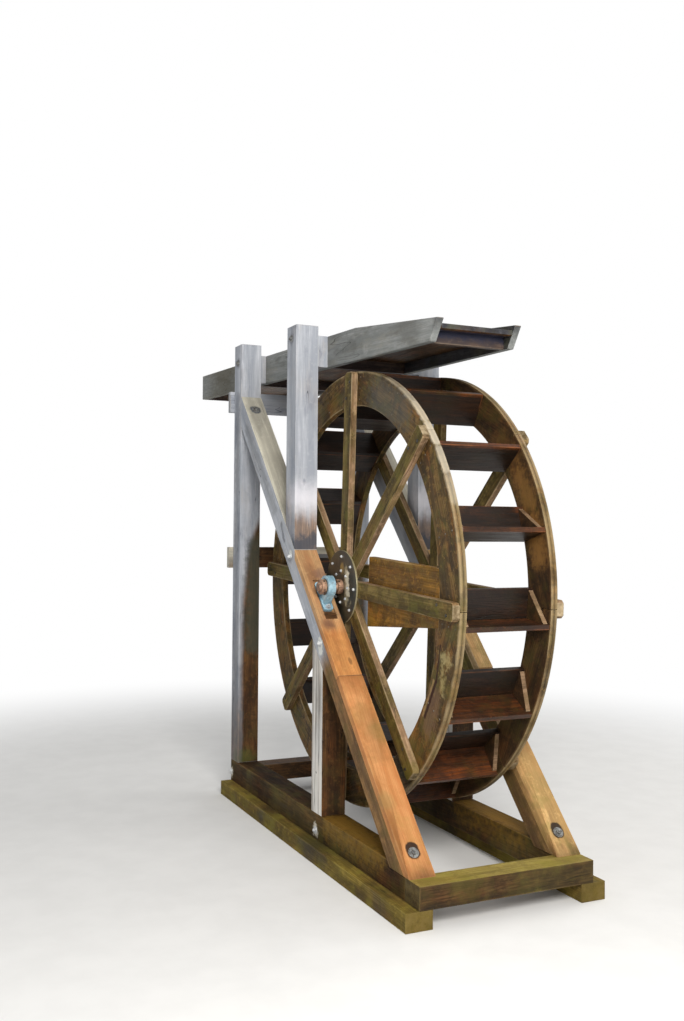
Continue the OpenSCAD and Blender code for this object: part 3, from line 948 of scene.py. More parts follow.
class Bench:
    """Models small pieces with Blender's operators, as by hand."""

    @staticmethod
    def only(piece: Piece) -> None:
        """Selects one object and nothing else.

        Args:
            piece: The object.
        """
        bpy.ops.object.select_all(action="DESELECT")
        piece.select_set(True)
        bpy.context.view_layer.objects.active = piece

    @staticmethod
    def top_step(piece: Piece, inward: float, up: float) -> None:
        """Insets the top face and moves it up or down.

        Args:
            piece: The piece to shape.
            inward: Width of the inset.
            up: Height of the step, negative for a recess.
        """
        top = max(vertex.co.z for vertex in piece.data.vertices)
        Bench.only(piece)
        bpy.ops.object.mode_set(mode="EDIT")
        bpy.ops.mesh.select_mode(type="FACE")
        bpy.ops.mesh.select_all(action="DESELECT")
        cage = bmesh.from_edit_mesh(piece.data)
        for face in cage.faces:
            face.select_set(face.normal.z > 0.9 and abs(face.calc_center_median().z - top) < 1e-5)
        bmesh.update_edit_mesh(piece.data)
        bpy.ops.mesh.inset(thickness=inward)
        bpy.ops.mesh.extrude_region_move(TRANSFORM_OT_translate={"value": (0, 0, up)})
        bpy.ops.object.mode_set(mode="OBJECT")

    @staticmethod
    def turn_out(part: Turned) -> Piece:
        """Models a round or hexagonal part.

        Args:
            part: Its sizes.

        Returns:
            The model, upright over the origin.
        """
        bpy.ops.object.select_all(action="DESELECT")
        bpy.ops.mesh.primitive_cylinder_add(vertices=part.sides, radius=part.radius, depth=part.depth,
                                            location=(0, 0, part.low + part.depth / 2))
        piece = bpy.context.object
        piece.name = part.name
        bpy.ops.object.transform_apply(location=True, rotation=True, scale=True)
        for inward, up in part.steps:
            Bench.top_step(piece, inward, up)
        Bench.only(piece)
        rounding = piece.modifiers.new("round_edges", "BEVEL")
        rounding.width = part.rounding
        rounding.segments = 2
        rounding.limit_method = "ANGLE"
        rounding.angle_limit = math.radians(30)
        bpy.ops.object.modifier_apply(modifier=rounding.name)
        bpy.ops.object.shade_smooth_by_angle(angle=math.radians(30))
        return piece

    @staticmethod
    def join(name: str, pieces: list[Piece]) -> Piece:
        """Joins objects into the first of them and names it.

        Args:
            name: Name of the joined piece.
            pieces: The objects.

        Returns:
            The joined piece.
        """
        Bench.only(pieces[0])
        for piece in pieces[1:]:
            piece.select_set(True)
        if len(pieces) > 1:
            bpy.ops.object.join()
        pieces[0].name = name
        return pieces[0]

    @staticmethod
    def copy_to(model: Piece, name: str, place: Vector, axis: Vector, turn: float = 0.0) -> Piece:
        """Copies a model with its own mesh and puts the copy in place.

        Args:
            model: The model, upright at the origin.
            name: Name of the copy.
            place: Where its foot goes.
            axis: Which way it points.
            turn: Turn about its own axis.

        Returns:
            The copy, with its place in its mesh.
        """
        Bench.only(model)
        bpy.ops.object.duplicate(linked=False)
        piece = bpy.context.object
        piece.name = name
        stand = Vector((0, 0, 1)).rotation_difference(axis.normalized()).to_matrix().to_4x4()
        piece.matrix_world = Matrix.Translation(place) @ stand @ Matrix.Rotation(turn, 4, "Z")
        bpy.ops.object.transform_apply(location=True, rotation=True, scale=True)
        return piece

    @staticmethod
    def drop(*models: Piece) -> None:
        """Deletes models that have been copied."""
        for model in models:
            bpy.data.objects.remove(model, do_unlink=True)


SUNK_BOLT = (Turned("seat", 40, 0.0265, 0.0016, ((0.0022, 0.0004), (0.0015, -0.0012)), 0.0003),
             Turned("washer", 36, 0.0205, 0.0030, ((0.0018, 0.0003),), 0.0005),
             Turned("nut", 6, 0.0148, 0.0100, ((0.0024, 0.0009),), 0.0009, low=0.0030),
             Turned("stud", 20, 0.0074, 0.0060, ((0.0012, 0.0008),), 0.0005, low=0.0132))


@dataclass(frozen=True)
class BoltPlan:
    """Places of the frame's bolts, the same on each side.

    Attributes:
        posts: Distance forward of the axle and height over it, on the front and the rear post.
        sill: The same, on a sill.
        brace: Distance down the slope and under the axle, on the side of a brace.
        brace_ends: Distance down the slope of the bolts sunk in the upper face of a brace.
    """

    posts: tuple[Pair, Pair] = ((-0.372, 1.439), (-1.334, 1.433))
    sill: tuple[Pair, Pair] = ((-1.393, -1.315), (0.042, -1.325))
    brace: tuple[Pair, Pair] = ((-0.3665, 0.152), (0.275, 0.150))
    brace_ends: Pair = (-1.615, 1.556)


BOLTS = BoltPlan()


@dataclass
class Fasteners:
    """Bolts, washers, nuts and nails of the frame and the wheel.

    Attributes:
        turn: Turn from one copy of a bolt to the next, in radians.
        metals: Their materials by name.
        count: Number of fasteners set out so far.
    """

    turn: float = 0.7
    metals: dict[str, bpy.types.Material] = field(default_factory=dict)
    count: int = 0

    def __post_init__(self) -> None:
        """Builds the materials."""
        for name, finish in (("zinc", ZINC), ("dull_zinc", DULL_ZINC), ("dark_heads", BLACK_STEEL),
                             ("aged_zinc", AGED_ZINC)):
            self.metals[name] = metal(name, finish)

    @staticmethod
    def hex_bolt(washer_r: float, head_r: float, stud: float) -> Piece:
        """Models a hexagon nut on a washer, with a stud end through it.

        Args:
            washer_r: Radius of the washer.
            head_r: Radius of the hexagon over its corners.
            stud: How far the stud stands out of the nut.

        Returns:
            The model, upright at the origin.
        """
        parts = [Turned("washer", 36, washer_r, 0.003, ((washer_r * 0.08, 0.0004),), 0.0005),
                 Turned("nut", 6, head_r, head_r * 0.72, ((head_r * 0.16, head_r * 0.06),),
                        head_r * 0.08, low=0.0032)]
        if stud:
            parts.append(Turned("stud", 20, head_r * 0.5, stud, ((head_r * 0.1, head_r * 0.06),),
                                head_r * 0.06, low=0.0032 + head_r * 0.74))
        return Bench.join("hex_bolt_model", [Bench.turn_out(part) for part in parts])

    @staticmethod
    def sunk_bolt() -> Piece:
        """Models a bolt head with its washer in a shallow bored seat, and returns it upright."""
        return Bench.join("sunk_bolt_model", [Bench.turn_out(part) for part in SUNK_BOLT])

    @staticmethod
    def dome(radius: float, height: float) -> Piece:
        """Models a low domed head.

        Args:
            radius: Radius of the head.
            height: Height of its crown.

        Returns:
            The model, upright at the origin.
        """
        steps = ((radius * 0.22, height * 0.3), (radius * 0.3, height * 0.2))
        return Bench.turn_out(Turned("dome", 24, radius, height * 0.45, steps, radius * 0.06))

    def set_out(self, name: str, model: Piece, places: list[tuple[Vector, Vector]], body: str,
                material: str, slot: str) -> None:
        """Copies a model to several places as one piece that rides on a body.

        Args:
            name: Name of the piece.
            model: The model to copy.
            places: Foot and direction of each copy.
            body: Body that carries the piece.
            material: Name of its material.
            slot: Material slot of the record. It is not used.
        """
        piece = Bench.join(name, [Bench.copy_to(model, f"{name}_{k}", place, axis, self.turn * k)
                                  for k, (place, axis) in enumerate(places)])
        put_on(piece, self.metals[material])
        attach(piece, body)
        self.count += len(places)
        LOG.info("set out %s: %d", name, len(places))


@dataclass
class Assembly:
    """A sub-assembly of the water wheel.

    Attributes:
        dresser: Builds the timber materials and puts them on.
        fasteners: Models and sets out the bolts, nuts and nails.
    """

    dresser: TimberDresser
    fasteners: Fasteners

    def dress(self) -> None:
        """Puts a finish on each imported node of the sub-assembly."""
        raise NotImplementedError

    def fasten(self) -> None:
        """Adds the small fasteners of the sub-assembly, where it has any."""


@dataclass
class GroundFrame(Assembly):
    """Sills, bearers and cross sills, which stand in the wet.

    Attributes:
        dry_line: Share of the frame's face at which the dry stroke on a sill's top lies.
        bearer_wet: Gives the wet share of a bearer.
    """

    dry_line: float = 0.87
    bearer_wet: Mask = patchy((1.7, 3.0), 0.5, 0.66)

    @staticmethod
    def algae(graph: Graph, axes: Axes) -> Socket:
        """Gives the share of green growth on a sill, strongest on its sides and low down."""
        return graph.times(graph.fade(graph.facing[2], 0.35, 0.8, 1.0, 0.25),
                           graph.patches((2.2, 4.0), 0.36, 0.62))

    def dress(self) -> None:
        """Dresses the ground frame."""
        dress = self.dresser.dress
        for name, side in SIDES:
            face = FRAME_FACE * side
            dry = face * self.dry_line
            marks = tuple(Mark(from_axle(x, face, z), 0.042, (206, 200, 184), 0.9, 0.45, 2.6)
                          for x, z in BOLTS.sill)
            marks += (Mark(from_axle(0.2, dry, -1.255), 0.13, (146, 110, 40), 0.6, 0.2, 1.4,
                           end=from_axle(0.8, dry, -1.255)),)
            dress("sill_" + name, RED_BROWN, Grain.LEVEL, OLIVE_WET, self.algae, marks, (96, 78, 48))
            dress("bearer_" + name, MOSSY, Grain.LEVEL, OLIVE_WET, self.bearer_wet, ends=(118, 100, 54))
        # The front cross sill's top takes the paler moss as painted sunlight.
        dress("cross_sill_front", OLIVE_WET, Grain.CROSS, RED_BROWN, self.algae, ends=(112, 96, 56),
              sunny=MOSSY_PALE)
        dress("cross_sill_rear", DAMP_BROWN, Grain.CROSS)


@dataclass
class Posts(Assembly):
    """Rear, front and prop posts, with the rails behind them.

    Attributes:
        end_grey: Colour of the end grain.
        bolt_stain: Colour of the stain round a bolt.
        rail_damp: Gives the damp share of the middle rail.
    """

    end_grey: Screen = (158, 154, 148)
    bolt_stain: Screen = (104, 104, 112)
    rail_damp: Mask = patchy((2.0, 3.0), 0.45, 0.65)

    @staticmethod
    def rear_damp(graph: Graph, axes: Axes) -> Socket:
        """Gives the damp share of a rear post: a curved front that leaves its outer arris pale.

        Args:
            graph: Tree to build in.
            axes: Places on the board.

        Returns:
            The share.
        """
        inset = graph.minus(FRAME_FACE, graph.size(axes.y))
        fall = graph.math("EXPONENT", graph.times(graph.minus(0.42, axes.z), -4.2))
        strip = graph.mixed(fall, 0.15, 0.012)
        ragged = graph.uneven(-0.015, 6.0, 0.03)
        soaked = graph.fade(graph.minus(graph.plus(inset, ragged), strip), -0.026, 0.03)
        return graph.most(soaked, graph.fade(graph.plus(axes.z, ragged), -1.12, -0.5, 0.75, 0.0))

    @staticmethod
    def foot_damp(graph: Graph, axes: Axes) -> Socket:
        """Gives the brown share just above the sloping foot of a front post.

        Args:
            graph: Tree to build in.
            axes: Places on the board.

        Returns:
            The share.
        """
        above = graph.total((axes.x, math.sin(SLOPE)), (axes.z, math.cos(SLOPE)), (BRACE_FACE, 1.0))
        streaky = graph.stretch((axes.x, axes.y, axes.z), 22.0, 22.0, 2.0)
        ragged = graph.mixed(graph.noise(streaky, 1.0, 4.0), 0.14, above)
        return graph.times(graph.fade(ragged, 0.16, 0.27, 0.9, 0.0),
                           graph.fade(graph.facing[0], 0.4, 0.6, 0.25, 1.0))

    @staticmethod
    def prop_damp(graph: Graph, axes: Axes) -> Socket:
        """Gives the damp share of a prop post, whose outer face keeps the lighter finish with its painted
        sunlight.

        Args:
            graph: Tree to build in.
            axes: Places on the board.

        Returns:
            The share.
        """
        inner = graph.fade(graph.size(graph.facing[1]), 0.4, 0.7, 1.0, 0.0)
        streaky = graph.vector(graph.times(axes.x, 24.0), 0.0, graph.times(axes.z, 1.2))
        streaks = graph.fade(graph.noise(streaky, 1.0, 3.0), 0.42, 0.62)
        return graph.most(inner, graph.times(streaks, 0.55))

    def rear_marks(self, side: int) -> tuple[Mark, ...]:
        """Gives the marks of a rear post: bolt stain, long grey streak, moss and a dark inner face.

        Args:
            side: Side of the wheel, -1 or 1.

        Returns:
            The marks.
        """
        face, (x, z) = FRAME_FACE * side, BOLTS.posts[1]
        return (Mark(from_axle(x, face, z), 0.05, self.bolt_stain, 0.6),
                Mark(from_axle(x, face, 1.2), 0.06, (98, 100, 106), 0.45, 0.2, 1.4,
                     end=from_axle(x, face, -1.0)),
                Mark(from_axle(-1.3, 0.42 * side, -1.2), 0.1, (84, 92, 44), 0.6),
                Mark(from_axle(-1.263, 0.36 * side, 0.2), 0.1, (72, 74, 62), 0.75, 0.3, 1.2,
                     end=from_axle(-1.263, 0.37 * side, -0.45)))

    def front_marks(self, side: int) -> tuple[Mark, ...]:
        """Gives the marks of a front post: bolt stain, and a pale and a dark band on its front.

        Args:
            side: Side of the wheel, -1 or 1.

        Returns:
            The marks.
        """
        x, z = BOLTS.posts[0]
        return (Mark(from_axle(x, FRAME_FACE * side, z), 0.05, self.bolt_stain, 0.6),
                Mark(from_axle(-0.301, 0.36 * side, 0.5), 0.15, (232, 230, 236), 0.62, 0.0, 0.7,
                     end=from_axle(-0.301, 0.45 * side, 0.5)),
                Mark(from_axle(-0.301, 0.35 * side, 0.24), 0.085, (70, 76, 86), 0.85, 0.3, 1.6,
                     end=from_axle(-0.301, 0.45 * side, 0.225)))

    def dress(self) -> None:
        """Dresses the posts and rails."""
        dress = self.dresser.dress
        for name, side in SIDES:
            dress("rear_post_" + name, SILVER_GREY, Grain.UPRIGHT, DAMP_BROWN, self.rear_damp,
                  self.rear_marks(side), self.end_grey)
            dress("front_post_" + name, SILVER_GREY, Grain.UPRIGHT, POST_FOOT, self.foot_damp,
                  self.front_marks(side), self.end_grey)
            dress("prop_post_" + name, PROP_SUNLIT_GREY, Grain.UPRIGHT, DAMP_BROWN, self.prop_damp)
            dress("flume_blocks_" + name, SILVER_GREY, Grain.UPRIGHT)
        dress("rail_top", SILVER_GREY, Grain.CROSS, ends=self.end_grey)
        dress("rail_middle", WARM_GREY, Grain.CROSS, DAMP_BROWN, self.rail_damp, ends=self.end_grey)


@dataclass
class Braces(Assembly):
    """The sloping timbers with their new planks and packing blocks.

    Attributes:
        bolt_stain: Colour of the stain round a bolt.
        crust: Colour of the pale deposit round a bolt.
        bolt_size: Radii of a bolt's washer and nut, and how far its stud stands out.
        low_damp: Gives the damp, green share of a brace, from just under the bearing to its foot.
        sunlit_end: Gives the share of a bearing plank that is a brighter orange, at its lower end.
        foot_damp: Gives the soaked share at the foot of a strut plank.
    """

    bolt_stain: Screen = (64, 70, 84)
    crust: Screen = (218, 220, 214)
    bolt_size: Triple = (0.021, 0.0125, 0.004)
    low_damp: Mask = front_along(4.0, 0.3, 0.42, 0.64)
    sunlit_end: Mask = front_along(6.0, 0.12, 0.2, 0.34)
    foot_damp: Mask = front_along(7.0, 0.2, 1.66, 1.86, 0.0, 0.8)

    def brace_marks(self, side: int) -> tuple[Mark, ...]:
        """Gives the marks of a brace: stains and deposits round its bolts, a long grey stroke of painted
        shade with dark staining on its upper outer face, and a short grey streak.

        Args:
            side: Side of the wheel, -1 or 1.

        Returns:
            The marks.
        """
        face = FRAME_FACE * side
        return (Mark(down_slope(BOLTS.brace_ends[0], BRACE_FACE, BRACE_MIDDLE * side), 0.045,
                     self.bolt_stain, 0.85, 0.6),
                Mark(down_slope(*BOLTS.brace[0], face), 0.05, self.bolt_stain, 0.5),
                # Painted shade, with some dark staining, on the upper outer face.
                Mark(down_slope(-1.5, 0.15, face), 0.06, (112, 112, 108), 0.35, 0.2, 1.4,
                     end=down_slope(-0.75, 0.15, face)),
                Mark(down_slope(-0.61, 0.13, face), 0.024, (86, 86, 92), 0.65, 0.1, 2.0,
                     end=down_slope(-0.5, 0.16, face)),
                Mark(down_slope(-0.38, 0.14, face), 0.032, self.crust, 0.8, 0.4, 2.6),
                Mark(down_slope(0.27, 0.145, face), 0.036, self.crust, 0.9, 0.45, 2.6,
                     end=down_slope(0.31, 0.175, face)))

    @staticmethod
    def plank_marks(side: int) -> tuple[Mark, ...]:
        """Gives the marks of a bearing plank: a near-black patch of painted shade, partly damp, below the
        foot of the bearing, and two dim spots.

        Args:
            side: Side of the wheel, -1 or 1.

        Returns:
            The marks.
        """
        # Painted shade in the hollow below the bearing's foot, partly damp.
        return (Mark(down_slope(0.125, 0.09, 0.396 * side), 0.06, (44, 30, 28), 0.9, 0.2, 1.6),
                Mark(down_slope(0.2, BRACE_FACE, 0.43 * side), 0.05, (96, 66, 58), 0.6),
                Mark(down_slope(-0.16, BRACE_FACE, 0.36 * side), 0.07, (112, 84, 80), 0.6))

    @staticmethod
    def strut_marks(side: int) -> tuple[Mark, ...]:
        """Gives the marks of a strut plank: painted shade in and round the bored seat of its bolt, brown
        patches and moss.

        Args:
            side: Side of the wheel, -1 or 1.

        Returns:
            The marks.
        """
        middle = BRACE_MIDDLE * side
        # Painted shade in and round the bolt's bored seat.
        return (Mark(down_slope(BOLTS.brace_ends[1], BRACE_FACE, middle), 0.038, (38, 28, 24), 0.95,
                     0.75, 0.5, end=down_slope(1.535, BRACE_FACE, middle)),
                Mark(down_slope(0.46, BRACE_FACE, middle), 0.24, (142, 94, 52), 0.6),
                Mark(down_slope(0.78, BRACE_FACE, middle), 0.1, (150, 104, 60), 0.5, 0.1, 1.6,
                     end=down_slope(1.02, BRACE_FACE, middle)),
                Mark(down_slope(0.9, BRACE_FACE, 0.35 * side), 0.09, (122, 112, 62), 0.4),
                Mark(down_slope(1.28, BRACE_FACE, 0.46 * side), 0.07, (150, 128, 78), 0.45))

    def dress(self) -> None:
        """Dresses the braces. The far ones get less sun, and their planks have aged, in a tan that is
        lightened as painted light where they lie in shade.
        """
        dress = self.dresser.dress
        for name, side in SIDES:
            near = name == "near"
            tan, red, orange = (FRESH_TAN, FRESH_RED, FRESH_ORANGE) if near else (AGED_TAN_WITH_PAINTED_LIGHT,) * 3
            # The brace's upper faces take the warm grey as painted sunlight.
            dress("brace_" + name, SILVER_GREY, Grain.SLOPE, BRACE_DAMP, self.low_damp,
                  self.brace_marks(side), sunny=WARM_GREY)
            dress("bearing_plank_" + name, red, Grain.SLOPE, orange, self.sunlit_end,
                  self.plank_marks(side), (84, 50, 34))
            dress("strut_plank_" + name, tan, Grain.SLOPE, RED_BROWN, self.foot_damp,
                  self.strut_marks(side), (110, 70, 42))
            dress("packing_" + name, DAMP_BROWN, Grain.CROSS)

    def fasten(self) -> None:
        """Adds the bolts of the braces, posts and sills. Those of the posts and ends are weathered."""
        bolt = self.fasteners.hex_bolt(*self.bolt_size)
        sunk = self.fasteners.sunk_bolt()
        up_slope = leaning(SLOPE)
        for name, side in SIDES:
            face, away = FRAME_FACE * side, Vector((0, side, 0))
            groups = {"brace": [down_slope(along, under, face) for along, under in BOLTS.brace],
                      "posts": [from_axle(x, face, z) for x, z in BOLTS.posts],
                      "sill": [from_axle(x, face, z) for x, z in BOLTS.sill]}
            for group, places in groups.items():
                metal_name = "aged_zinc" if group == "posts" else "zinc"
                self.fasteners.set_out(f"{group}_bolts_{name}", bolt, [(place, away) for place in places],
                                       "frame", metal_name, "rusty_steel")
            ends = [(down_slope(along, BRACE_FACE, BRACE_MIDDLE * side), up_slope)
                    for along in BOLTS.brace_ends]
            self.fasteners.set_out("brace_end_bolts_" + name, sunk, ends, "frame", "aged_zinc",
                                   "rusty_steel")
        Bench.drop(bolt, sunk)


@dataclass
class Flume(Assembly):
    """The trough that brings the water over the wheel.

    Attributes:
        half_floor: Half the length along the axle of the painted shade under the mouth.
    """

    half_floor: float = 0.28

    @staticmethod
    def inner_damp(graph: Graph, axes: Axes) -> Socket:
        """Gives the damp share of a side board: its inside, its lower edge and its nose.

        Args:
            graph: Tree to build in.
            axes: Places on the board.

        Returns:
            The share.
        """
        inside = graph.fade(outward(graph, axes), -0.6, -0.3, 1.0, 0.0)
        low = graph.fade(graph.uneven(axes.depth, 5.0, 0.06), 1.265, 1.31, 0.8, 0.0)
        nose = graph.fade(graph.uneven(axes.x, 14.0, 0.06), 0.9, 0.955, 0.0, 0.7)
        return graph.most(graph.most(low, nose), inside)

    @staticmethod
    def wetted(graph: Graph, axes: Axes) -> Socket:
        """Gives the soaked share of the floor: its upper side and the lip that the water leaves."""
        forward, _, upward = graph.facing
        return graph.most(graph.fade(upward, 0.2, 0.6), graph.fade(forward, 0.4, 0.7))

    def dress(self) -> None:
        """Dresses the flume."""
        dress = self.dresser.dress
        for name, side in SIDES:
            marks = (Mark(from_axle(-2.1, 0.36 * side, 1.42), 0.55, (84, 78, 60), 0.6, 0.1),
                     Mark(from_axle(0.03, 0.315 * side, 1.34), 0.014, (72, 72, 78), 0.8),
                     Mark(from_axle(0.44, 0.300 * side, 1.39), 0.012, (76, 76, 80), 0.8),
                     Mark(from_axle(0.18, 0.307 * side, 1.31), 0.06, (192, 192, 190), 0.45))
            dress("flume_side_" + name, FLUME_GREY, Grain.FLUME, SOAKED, self.inner_damp, marks,
                  (116, 94, 72))
        # Painted shade under the mouth of the flume, dark blue as deep shadow with a painted reflection, on
        # the floor's lip and the cleats.
        shade = (Mark(from_axle(0.83, -self.half_floor, 1.305), 0.05, (34, 42, 64), 0.8, 0.3, 1.2,
                      end=from_axle(0.83, self.half_floor, 1.305)),)
        dress("flume_floor", DAMP_BROWN, Grain.FLUME, SOAKED, self.wetted, shade)
        dress("flume_cleats", CLEAT_DIM, Grain.CROSS, marks=shade)


@dataclass
class Wheel(Assembly):
    """The turning wheel: rings, spokes, buckets and web plank.

    Attributes:
        spoke_count: Number of spokes on each side.
        bucket_count: Number of buckets.
        lead: Turn from a spoke to the paddle beside it.
        ring_face: Distance of a ring's outer face from the middle of the axle.
        ring_back: Distance of its inner face.
        spoke_face: Distance of a spoke's outer face.
        hub_bolts: Radii of the bolts that hold a spoke to its hub disc.
        lap_bolts: Radius of each bolt that holds a spoke to its ring, and its place across the spoke.
        nails: Radii of the nails of a paddle.
        hub_bolt_size: Radii of a hub bolt's washer and nut, and how far its stud stands out.
        lap_bolt_size: Radius and height of the domed head of a spoke bolt.
        nail_size: Radius and height of a nail head.
        dark_wet: Gives the share of the web plank that is soaked dark.
        rusty: Gives the share of the sole boards that is stained orange-brown.
    """

    spoke_count: int = 8
    bucket_count: int = 16
    lead: float = math.radians(4)
    ring_face: float = 0.27
    ring_back: float = 0.232
    spoke_face: float = 0.308
    hub_bolts: Pair = (0.088, 0.168)
    lap_bolts: tuple[Pair, Pair] = ((1.052, -0.02), (1.14, 0.02))
    nails: Triple = (1.045, 1.105, 1.168)
    hub_bolt_size: Triple = (0.0084, 0.0064, 0.0)
    lap_bolt_size: Pair = (0.0085, 0.005)
    nail_size: Pair = (0.0045, 0.0022)
    dark_wet: Mask = patchy((3.0, 5.0, 0.65), 0.5, 0.68, 0.0, 0.75)
    rusty: Mask = patchy((4.0, 5.0, 0.65), 0.55, 0.72, 0.0, 0.7)

    @staticmethod
    def polar(radius: float, angle: float, y: float) -> Vector:
        """Gives a point by its distance from the axle and its angle past upright."""
        return from_axle(radius * math.sin(angle), y, radius * math.cos(angle))

    @staticmethod
    def strokes(y: float, rows: tuple[tuple, ...]) -> tuple[Mark, ...]:
        """Lays long marks on one face of a ring.

        Args:
            y: Place of the face along the axle.
            rows: For each mark the radius and degrees past upright of its start and of its end, and
                then its own radius, colour, strength, core and raggedness.

        Returns:
            The marks.
        """
        return tuple(Mark(Wheel.polar(start, math.radians(first), y), *looks,
                          end=Wheel.polar(end, math.radians(last), y))
                     for start, first, end, last, *looks in rows)

    @staticmethod
    def water_side(graph: Graph, axes: Axes) -> Socket:
        """Gives the share of a paddle's side that holds the water, which is stained orange-brown.

        Args:
            graph: Tree to build in.
            axes: Places on the board.

        Returns:
            The share.
        """
        facing_x, _, facing_z = graph.facing
        turn = graph.minus(graph.times(facing_x, axes.z), graph.times(facing_z, axes.x))
        wet = graph.most(graph.fade(turn, -0.7, -0.4, 1.0, 0.0), graph.fade(axes.arris[1], 1.176, 1.184))
        return graph.times(wet, graph.patches((3.5, 5.0, 0.6), 0.34, 0.56, 0.35, 1.0))

    @staticmethod
    def edge_faces(graph: Graph, axes: Axes) -> Socket:
        """Gives the share of a board's narrow faces, which are paler than its broad ones: worn on the
        spokes, and on the gussets partly a painted highlight along their edges.
        """
        narrow = graph.fade(graph.size(graph.facing[1]), 0.3, 0.6, 1.0, 0.0)
        return graph.times(narrow, graph.patches((5.0, 4.0), 0.35, 0.6, 0.35, 1.0))

    @staticmethod
    def soaked_inside(graph: Graph, axes: Axes) -> Socket:
        """Gives the share of a ring that is soaked red-brown, mostly on its inner face."""
        return graph.most(graph.fade(outward(graph, axes), -0.6, -0.2, 0.9, 0.0),
                          graph.patches((2.6, 5.0, 0.65), 0.52, 0.7, 0.0, 0.6))

    def dress(self) -> None:
        """Dresses the wheel's timber."""
        dress = self.dresser.dress
        worn = self.strokes(-self.ring_face, (
            (1.08, 19.0, 1.12, 34.0, 0.16, (80, 80, 74), 0.6, 0.2, 1.6),
            (1.08, 116.0, 1.1, 124.0, 0.09, (112, 86, 66), 0.6, 0.2, 1.8),
            (1.065, 105.0, 1.14, 104.5, 0.042, (176, 162, 112), 0.62, 0.0, 4.0),
            (1.1, 107.5, 1.13, 113.0, 0.028, (168, 154, 104), 0.55, 0.0, 5.0),
            (1.034, 124.0, 1.04, 112.5, 0.011, (168, 138, 92), 0.55, 0.1, 2.5),
            (1.053, 123.5, 1.062, 112.0, 0.013, (44, 20, 12), 0.95, 0.4, 1.6),
            (1.062, 112.0, 1.047, 102.5, 0.010, (44, 20, 12), 0.9, 0.3, 1.6)))
        worn += (Mark(self.polar(1.09, math.radians(75.0), -self.ring_face), 0.04, (60, 46, 28), 0.6),)
        # Painted highlight: pale strokes along the near ring's outer rim, strongest at 46 degrees past
        # upright.
        painted_rim_highlight = self.strokes(-RING_SEAM, tuple(
            (1.225, angle, 1.225, angle + 5.5, 0.046, (208, 198, 178), share, 0.6, 0.9)
            for angle, share in ((22.0, 0.2), (30.0, 0.35), (38.0, 0.5), (46.0, 0.55), (54.0, 0.45),
                                 (62.0, 0.25))))
        # Painted light: warm, lighter strokes on the upper part of the far ring's inner face.
        warm = self.strokes(self.ring_back, tuple(
            (1.1, angle, 1.12, angle + 8.0, 0.1, (150, 108, 56), share, 0.1, 2.0)
            for angle, share in ((44.0, 0.2), (58.0, 0.5), (72.0, 0.6))))
        for name, marks in (("near", worn + painted_rim_highlight), ("far", warm)):
            dress("ring_" + name, WHEEL_BROWN, Grain.SEGMENT, RED_BROWN, self.soaked_inside, marks)
        for name, _ in SIDES:
            dress("spokes_" + name, SPOKE_OLIVE, Grain.SPOKE, SPOKE_SIDE, self.edge_faces,
                  ends=(190, 172, 140))
        dress("web_plank", WEB_BROWN, Grain.WEB, BUCKET_DARK, self.dark_wet)
        dress("paddles", BUCKET_DARK, Grain.BUCKET, BUCKET_WET, self.water_side)
        dress("soles", BUCKET_DARK, Grain.BUCKET, BUCKET_WET, self.rusty)
        # The gussets' paler narrow faces are partly a painted highlight along their edges.
        dress("gussets", GUSSET_BROWN, Grain.BUCKET, SPOKE_SIDE, self.edge_faces)

    def fasten(self) -> None:
        """Adds the hub bolts, the bolts of the spokes and the nails of the paddles."""
        hub_bolt = self.fasteners.hex_bolt(*self.hub_bolt_size)
        lap_bolt = self.fasteners.dome(*self.lap_bolt_size)
        nail = self.fasteners.dome(*self.nail_size)
        spokes = [REST + k * math.tau / self.spoke_count for k in range(self.spoke_count)]
        paddles = [REST + self.lead + k * math.tau / self.bucket_count for k in range(self.bucket_count)]
        for name, side in SIDES:
            plan = (("hub_bolts_", hub_bolt, "zinc", DISC_FACE,
                     [(radius, turn) for turn in spokes for radius in self.hub_bolts]),
                    ("spoke_bolts_", lap_bolt, "dark_heads", self.spoke_face,
                     [(radius, turn + shift / radius) for turn in spokes
                      for radius, shift in self.lap_bolts]),
                    ("paddle_nails_", nail, "dull_zinc", self.ring_face,
                     [(radius, turn) for turn in paddles for radius in self.nails]))
            for group, model, material, face, rows in plan:
                places = [(self.polar(radius, turn, face * side), Vector((0, side, 0)))
                          for radius, turn in rows]
                self.fasteners.set_out(group + name, model, places, "wheel", material, "dark_steel")
        Bench.drop(hub_bolt, lap_bolt, nail)


